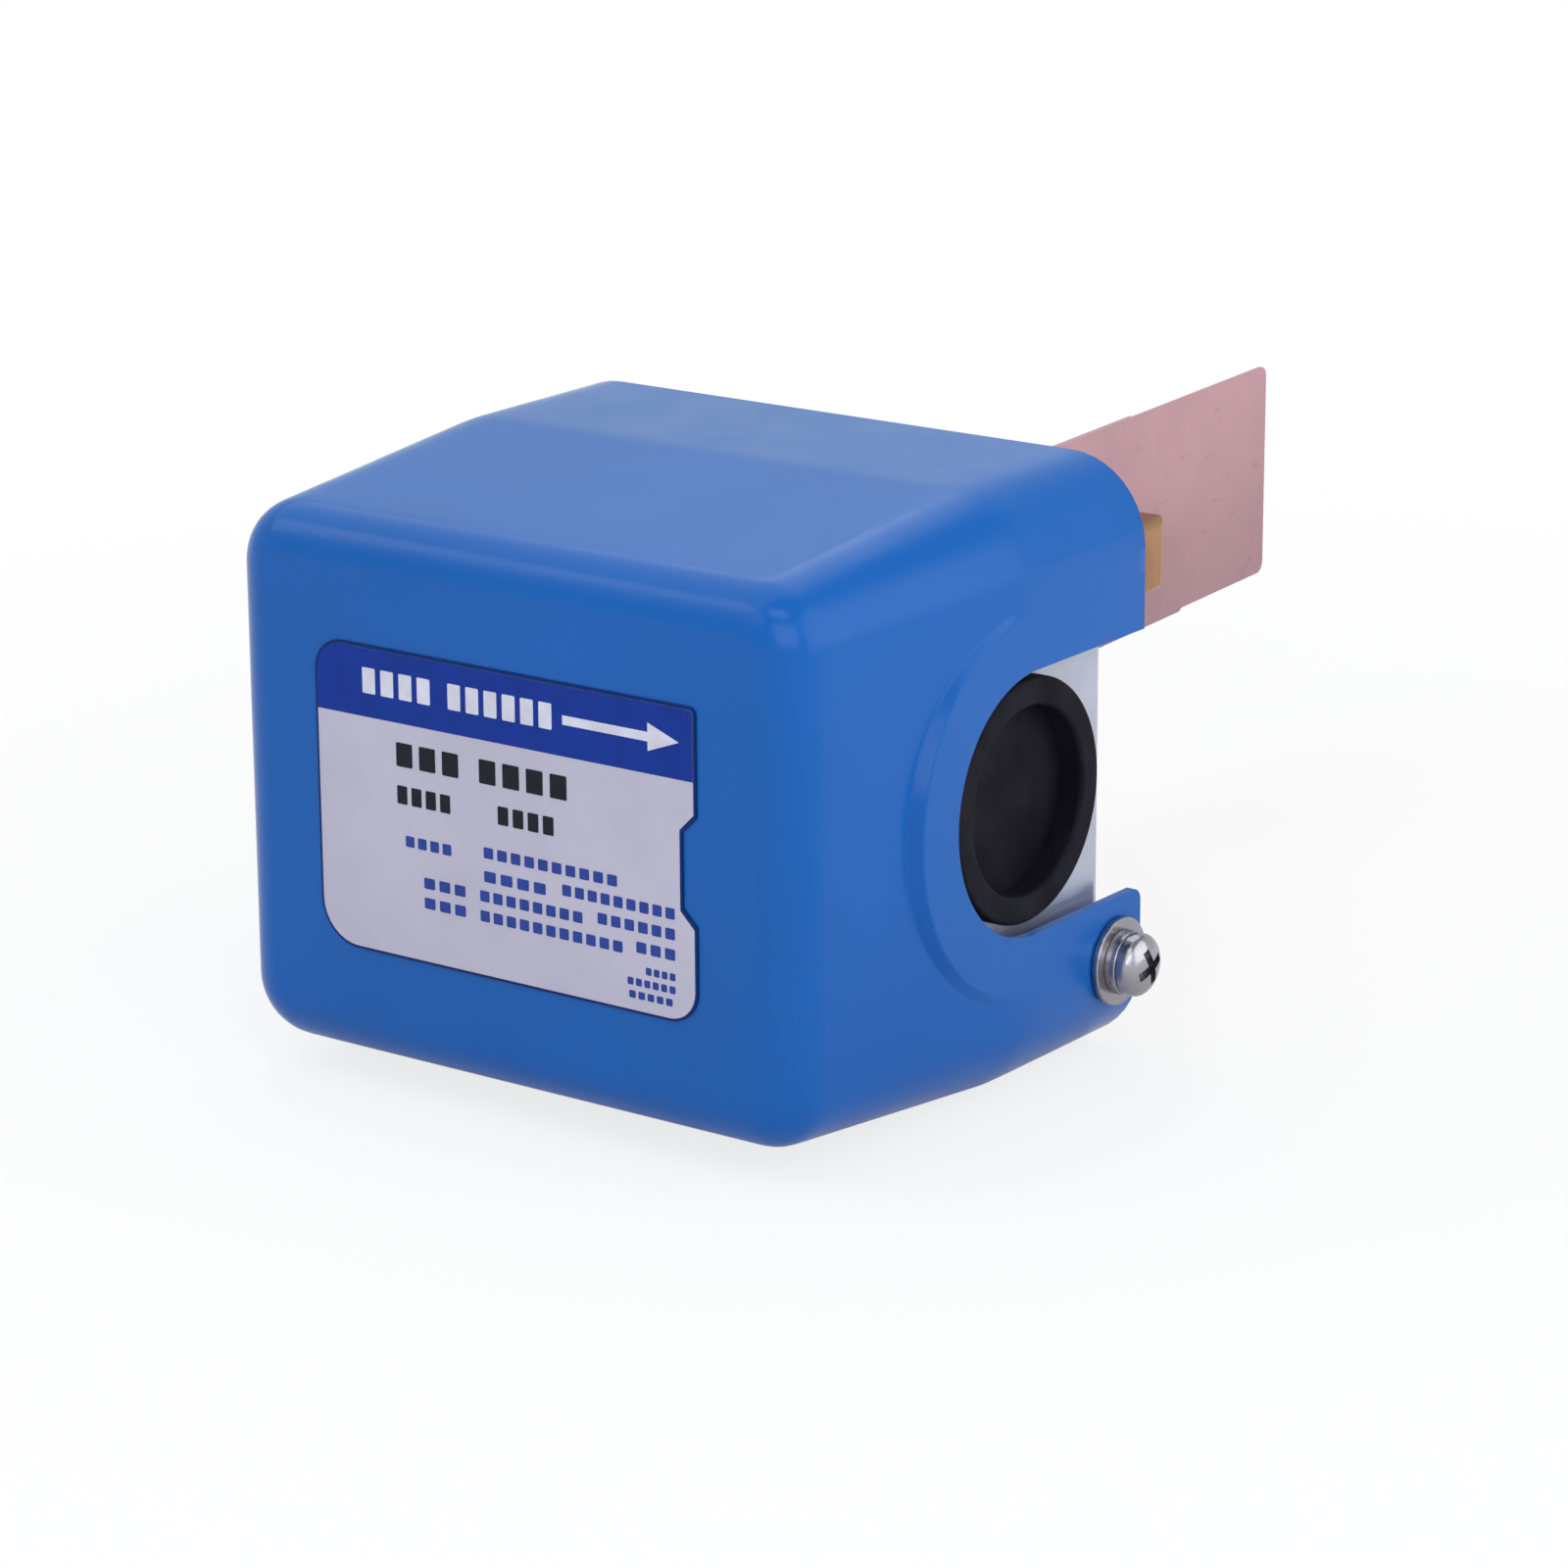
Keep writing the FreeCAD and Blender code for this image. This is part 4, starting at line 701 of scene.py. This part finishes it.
def cover_screws():
    """Pan head screws with a domed top and a cross recess, one on each side of the cover."""
    y, z = (screws_low.y + screws_high.y) / 2, (screws_low.z + screws_high.z) / 2
    radius, dome_height = (screws_high.z - screws_low.z) / 2, HEAD_HEIGHT - HEAD_EDGE
    # radius and depth from the head's top down
    profile = [(radius * math.sin(math.radians(a)), dome_height * (1 - math.cos(math.radians(a))))
               for a in steps(0, 90, DOME_STEPS)]
    profile += [(radius, HEAD_HEIGHT - HEAD_CHAMFER), (radius - HEAD_CHAMFER, HEAD_HEIGHT),
                (SHANK_RADIUS, HEAD_HEIGHT), (SHANK_RADIUS, HEAD_HEIGHT + SHANK_LENGTH),
                (0.0, HEAD_HEIGHT + SHANK_LENGTH)]
    bm = bmesh.new()
    for end, inward in ((screws_high.x, -1), (screws_low.x, 1)):
        rows = [[(end + inward * depth, y + r * math.cos(a), z + r * math.sin(a))
                 for a in round_angles(SCREW_SEGMENTS)] for r, depth in profile]
        add_grid(bm, rows, closed=True)
    obj = new_piece("cover_screw_pair", bm, MATERIALS["stainless_screw"], "chassis")
    arm = [(CROSS_REACH, -CROSS_HALF), (CROSS_REACH, CROSS_HALF), (CROSS_HALF, CROSS_HALF)]
    cross = []
    for quarter in range(4):
        turn = math.radians(90 * quarter + CROSS_TURN)
        cross += [(y + u * math.cos(turn) - v * math.sin(turn), z + u * math.sin(turn) + v * math.cos(turn))
                  for u, v in arm]
    cut_away(obj, cross, screws_high.x - CROSS_DEPTH, screws_high.x + HEAD_HEIGHT)
    cut_away(obj, cross, screws_low.x - HEAD_HEIGHT, screws_low.x + CROSS_DEPTH)
    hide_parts("cover_screws")


# ---- brass stem ------------------------------------------------------------------------
THREAD_PITCH, THREAD_DEPTH = 2.309 * MM, 1.4 * MM
THREAD_CREST = 16.6 * MM             # radius
THREAD_TAPER = 1.2 * MM              # how far the thread's end is turned down
THREAD_START = 1.5 * THREAD_PITCH    # over which the thread grows to its depth
THREAD_FULLNESS = 0.7                # below 1 the crests are fuller than the roots
HEX_CHAMFER = 1.2 * MM
BORE, BORE_CHAMFER = 9.0 * MM, 0.5 * MM
CHAMBER, CHAMBER_END = 10.6 * MM, 7.0 * MM       # the wider bore that holds the bellows, up to CHAMBER_END
STEM_SEGMENTS, THREAD_STEPS, CHAMFER_STEPS = 180, 130, 6


def thread_radius(angle, y):
    """Radius of the helical pipe thread."""
    phase = y / THREAD_PITCH - angle / (2 * math.pi)
    height = (0.5 - 0.5 * math.cos(2 * math.pi * phase)) ** THREAD_FULLNESS
    grown = smoothstep(y / THREAD_START)
    turned_down = min(THREAD_CREST, THREAD_CREST - THREAD_TAPER + (body_high.y - y))
    return min(turned_down, THREAD_CREST - THREAD_DEPTH * (1 - grown * height))


def hexagon_radius(angle, flats):
    sixth = math.pi / 3
    return flats / math.cos((angle + sixth / 2) % sixth - sixth / 2)


def brass_stem():
    """Hexagon and helical pipe thread with the bore through them, as one closed surface."""
    hex_front, thread_end = body_low.y, body_high.y
    flats = (body_high.x - body_low.x) / 2
    corner = flats / math.cos(math.pi / 6)
    angles = round_angles(STEM_SEGMENTS)

    def ring(y, radii):
        return [(radius * math.cos(a), y, radius * math.sin(a)) for a, radius in zip(angles, radii)]

    def hexagon(y, cut):
        """Ring round the hexagon, its corners turned down by cut."""
        return ring(y, [min(hexagon_radius(a, flats), corner - cut) for a in angles])

    chamfer = steps(0.0, HEX_CHAMFER, CHAMFER_STEPS)
    rows = [ring(y, [thread_radius(a, y) for a in angles]) for y in steps(0.0, thread_end, THREAD_STEPS)]
    for y, radius in ((thread_end, BORE + BORE_CHAMFER), (thread_end - BORE_CHAMFER, BORE),
                      (CHAMBER_END, BORE), (CHAMBER_END, CHAMBER), (hex_front, CHAMBER)):
        rows.append(ring(y, [radius] * STEM_SEGMENTS))
    rows += [hexagon(hex_front + HEX_CHAMFER - cut, cut) for cut in chamfer[::-1]]
    rows += [hexagon(cut - HEX_CHAMFER, cut) for cut in chamfer]
    bm = bmesh.new()
    add_grid(bm, rows + rows[:1], closed=True)
    obj = new_piece("brass_stem", bm, MATERIALS["brass"], "chassis", smooth_angle=24)
    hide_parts("brass_body")


# ---- bellows sleeve and range spring -----------------------------------------------------
BELLOWS_DEPTH, BELLOWS_WALL, BELLOWS_WAVES = 1.6 * MM, 0.4 * MM, 6
BELLOWS_SEGMENTS, WAVE_STEPS = 60, 8
COIL_WIRE, COIL_TURNS, COIL_GAP = 0.6 * MM, 7, 0.06 * MM     # wire's radius; half the gap at the middle
COIL_SEGMENTS, TURN_SEGMENTS = 10, 32            # round the wire, and along each turn


def bellows_sleeve():
    """Corrugated sleeve between the body and the arm, riding on no body."""
    low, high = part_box("bellows")

    def ring_at(t, inset):
        wave = 0.5 + 0.5 * math.cos(2 * math.pi * BELLOWS_WAVES * t)
        radius, y = high.z - inset - BELLOWS_DEPTH * wave, low.y + (high.y - low.y) * t
        return [(radius * math.cos(a), y, radius * math.sin(a)) for a in round_angles(BELLOWS_SEGMENTS)]

    along = steps(0.0, 1.0, BELLOWS_WAVES * WAVE_STEPS)
    rows = [ring_at(t, 0.0) for t in along] + [ring_at(t, BELLOWS_WALL) for t in along[::-1]]
    bm = bmesh.new()
    add_grid(bm, rows + rows[:1], closed=True)
    obj = new_piece("bellows_sleeve", bm, MATERIALS["brass"], None, smooth_angle=80)
    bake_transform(obj)
    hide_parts("bellows")


def coil_half(name, start, end, first_turn):
    """Half of the range spring: a round wire wound about X, from start to end."""
    low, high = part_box("range_spring")
    y, z, radius = (low.y + high.y) / 2, (low.z + high.z) / 2, (high.z - low.z) / 2 - COIL_WIRE
    turns = COIL_TURNS / 2
    lead = (end - start) / (2 * math.pi * turns * radius)
    rows = []
    for t in steps(0.0, 1.0, int(turns * TURN_SEGMENTS)):
        a = 2 * math.pi * (first_turn + turns * t)
        out = Vector((0, math.cos(a), math.sin(a)))
        side = Vector((lead, -math.sin(a), math.cos(a))).normalized().cross(out)
        centre = Vector((start + (end - start) * t, y, z)) + radius * out
        rows.append([centre + COIL_WIRE * (math.cos(b) * out + math.sin(b) * side)
                     for b in round_angles(COIL_SEGMENTS)])
    bm = bmesh.new()
    add_capped(bm, rows)
    body = "spring_seat" if first_turn == 0 else "chassis"
    obj = new_piece(name, bm, MATERIALS["spring_steel"], body, smooth_angle=50)
    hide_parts("range_spring")
    return obj, Vector((start, y, z))


def range_coil():
    """The range spring in two halves that meet at its middle.

    One half rides on the spring seat, and the other on the chassis."""
    low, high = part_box("range_spring")
    start, end = low.x + COIL_WIRE, high.x - COIL_WIRE
    middle, half = (start + end) / 2, (end - start) / 2
    by_seat, seat_end = coil_half("coil_seat_half", start, middle - COIL_GAP, 0)
    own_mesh(by_seat)
    by_lever, _ = coil_half("coil_lever_half", middle + COIL_GAP, end, COIL_TURNS / 2)
    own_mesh(by_lever)


# ---- CAD nodes -----------------------------------------------------------------------------
WASHER_EDGE = 0.14 * MM


def dress_cad_nodes():
    """Every carried-over node gets its slot's finish; the washers in view get softened edges."""
    for part in frame["record"]["subparts"]:
        dress(nodes[part["node"]], MATERIALS[part["material_slot"]])
    for name in ("cover_flat_washers", "cover_spring_washers"):
        nodes[name].modifiers.new("weld", "WELD").merge_threshold = WELD
        round_edges(nodes[name], WASHER_EDGE)


# ---- camera and light ---------------------------------------------------------------------
CAMERA_AZIMUTH, CAMERA_ELEVATION, CAMERA_ROLL = 36.64, 16.86, -0.44     # degrees
CAMERA_DISTANCE = 0.5806
CAMERA_LENS, CAMERA_SENSOR = 123.7, 36                                  # in mm, as Blender has them
CAMERA_SHIFT = (0.0237, 0.0327)
CAMERA_CLIP = (0.01, 50)
CAMERA_TARGET = Vector((0.01417, -0.0394, -0.00692))
AIM = Vector((0.01, -0.035, 0.0))    # where the softboxes point
# Softboxes: name, place, size, power, and whether the light fades towards the lower edge
SOFTBOXES = (("front_strip", (-0.35, -0.57, 0.48), (0.8, 0.41), 1.85, True),
             ("overhead", (-0.35, 0.05, 0.75), (1.5, 0.9), 4.3, False),
             ("corner", (0.22, -0.33, 0.6), (0.35, 0.14), 0.45, False),
             ("right_front", (0.40, -0.42, 0.26), (0.45, 0.35), 1.05, False),
             ("right_wall", (0.75, 0.25, 0.35), (0.8, 0.8), 2.8, False))
WHITE = (1.0, 1.0, 1.0, 1.0)
FILL_COLOUR, FILL = (0.9, 0.95, 1.0, 1.0), 0.38      # the world, for diffuse light
ROOM_COLOUR = (0.84, 0.97, 1.0, 1.0)                 # the world, for gloss
WALLS, CEILING = 0.85, 0.45          # strength of the room round the object, and overhead
WALL_TOP, CEILING_EDGE = 0.4, 0.7    # sines of the elevations between which it dims
FLOOR_HALF, FLOOR_GAP = 6.0, 0.4 * MM
FLOOR_COLOUR = (0.86, 0.86, 0.86, 1.0)
# How white the floor is near the object, and the distances from where and by which it grows to plain white
WHITE_TO_CAMERA, WHITE_TO_GLOSS = (0.8, 0.07, 0.28), (0.2, 0.09, 0.18)


def add_camera():
    azimuth, elevation = math.radians(CAMERA_AZIMUTH), math.radians(CAMERA_ELEVATION)
    back = Vector((math.sin(azimuth) * math.cos(elevation), -math.cos(azimuth) * math.cos(elevation),
                   math.sin(elevation)))
    side = Vector((0, 0, 1)).cross(back).normalized()
    turn = Matrix((side, back.cross(side), back)).transposed().to_4x4()
    roll = Matrix.Rotation(math.radians(CAMERA_ROLL), 4, "Z")
    data = bpy.data.cameras.new("camera")
    data.lens, data.sensor_width = CAMERA_LENS, CAMERA_SENSOR
    data.shift_x, data.shift_y = CAMERA_SHIFT
    data.clip_start, data.clip_end = CAMERA_CLIP
    camera = bpy.data.objects.new("camera", data)
    camera.matrix_world = Matrix.Translation(CAMERA_TARGET + back * CAMERA_DISTANCE) @ turn @ roll
    bpy.context.scene.collection.objects.link(camera)
    bpy.context.scene.camera = camera


def softbox(name, place, size, power, fades):
    data = bpy.data.lights.new(name, "AREA")
    data.shape = "RECTANGLE"
    data.size, data.size_y = size
    data.energy = power
    if fades:
        data.use_nodes = True
        tree = data.node_tree
        across = add_node(tree, "NewGeometry").outputs["Parametric"]
        split = add_node(tree, "SeparateXYZ", Vector=across)
        feed(tree, tree.nodes["Emission"].inputs["Strength"], split.outputs["Y"])
    lamp = bpy.data.objects.new(name, data)
    lamp.location = place
    lamp.rotation_euler = (AIM - Vector(place)).to_track_quat("-Z", "Y").to_euler()
    bpy.context.scene.collection.objects.link(lamp)


def white_share(tree, near, inner, outer):
    """How much of the floor is plain white: near close to the object, 1 from outer on."""
    place = add_node(tree, "TexCoord").outputs["Object"]
    away = tree.nodes.new("ShaderNodeVectorMath")
    away.operation = "LENGTH"
    feed(tree, away.inputs[0], place)
    return smooth_range(tree, away.outputs["Value"], inner, outer, near, 1.0)


def pale_floor():
    """Matt floor that shows the object's shadow near it and plain white further out."""
    material = bpy.data.materials.new("pale_floor")
    material.use_nodes = True
    tree = material.node_tree
    tree.nodes.remove(tree.nodes["Principled BSDF"])
    matt = add_node(tree, "BsdfDiffuse", Color=FLOOR_COLOUR)
    glow = add_node(tree, "Emission", Color=WHITE, Strength=1.0)
    path = add_node(tree, "LightPath")
    seen = maths(tree, "MULTIPLY", path.outputs["Is Camera Ray"], white_share(tree, *WHITE_TO_CAMERA))
    mirrored = maths(tree, "MULTIPLY", mirrored_ray(tree, path), white_share(tree, *WHITE_TO_GLOSS))
    white = maths(tree, "ADD", seen, mirrored)
    feed(tree, tree.nodes["Material Output"].inputs["Surface"],
         mix_shaders(tree, white, matt.outputs[0], glow.outputs[0]))
    return material


def add_floor():
    mesh = bpy.data.meshes.new("floor")
    half, level = FLOOR_HALF, cad_low[2] - FLOOR_GAP
    corners = [(-half, -half, level), (half, -half, level), (half, half, level), (-half, half, level)]
    mesh.from_pydata(corners, [], [(0, 1, 2, 3)])
    floor = bpy.data.objects.new("floor", mesh)
    bpy.context.scene.collection.objects.link(floor)
    floor.data.materials.append(pale_floor())


def add_world():
    """Dim fill for diffuse light; the camera sees white; gloss sees white walls under a dim ceiling."""
    world = bpy.data.worlds.new("studio")
    bpy.context.scene.world = world
    world.use_nodes = True
    tree = world.node_tree
    tree.nodes.clear()
    direction = add_node(tree, "SeparateXYZ", Vector=add_node(tree, "TexCoord").outputs["Generated"])
    height = smooth_range(tree, direction.outputs["Z"], WALL_TOP, CEILING_EDGE, WALLS, CEILING)
    fill = add_node(tree, "Background", Color=FILL_COLOUR, Strength=FILL)
    room = add_node(tree, "Background", Color=ROOM_COLOUR, Strength=height)
    white = add_node(tree, "Background", Color=WHITE, Strength=1.0)
    path = add_node(tree, "LightPath")
    seen = mix_shaders(tree, mirrored_ray(tree, path), fill.outputs[0], room.outputs[0])
    seen = mix_shaders(tree, path.outputs["Is Camera Ray"], seen, white.outputs[0])
    add_node(tree, "OutputWorld", Surface=seen)


dress_cad_nodes()
cover_shell()
label()
cover_screws()
brass_stem()
bellows_sleeve()
range_coil()
add_camera()
add_floor()
add_world()
for name, place, size, power, fades in SOFTBOXES:
    softbox(name, place, size, power, fades)
bpy.context.scene.view_settings.view_transform = "Standard"
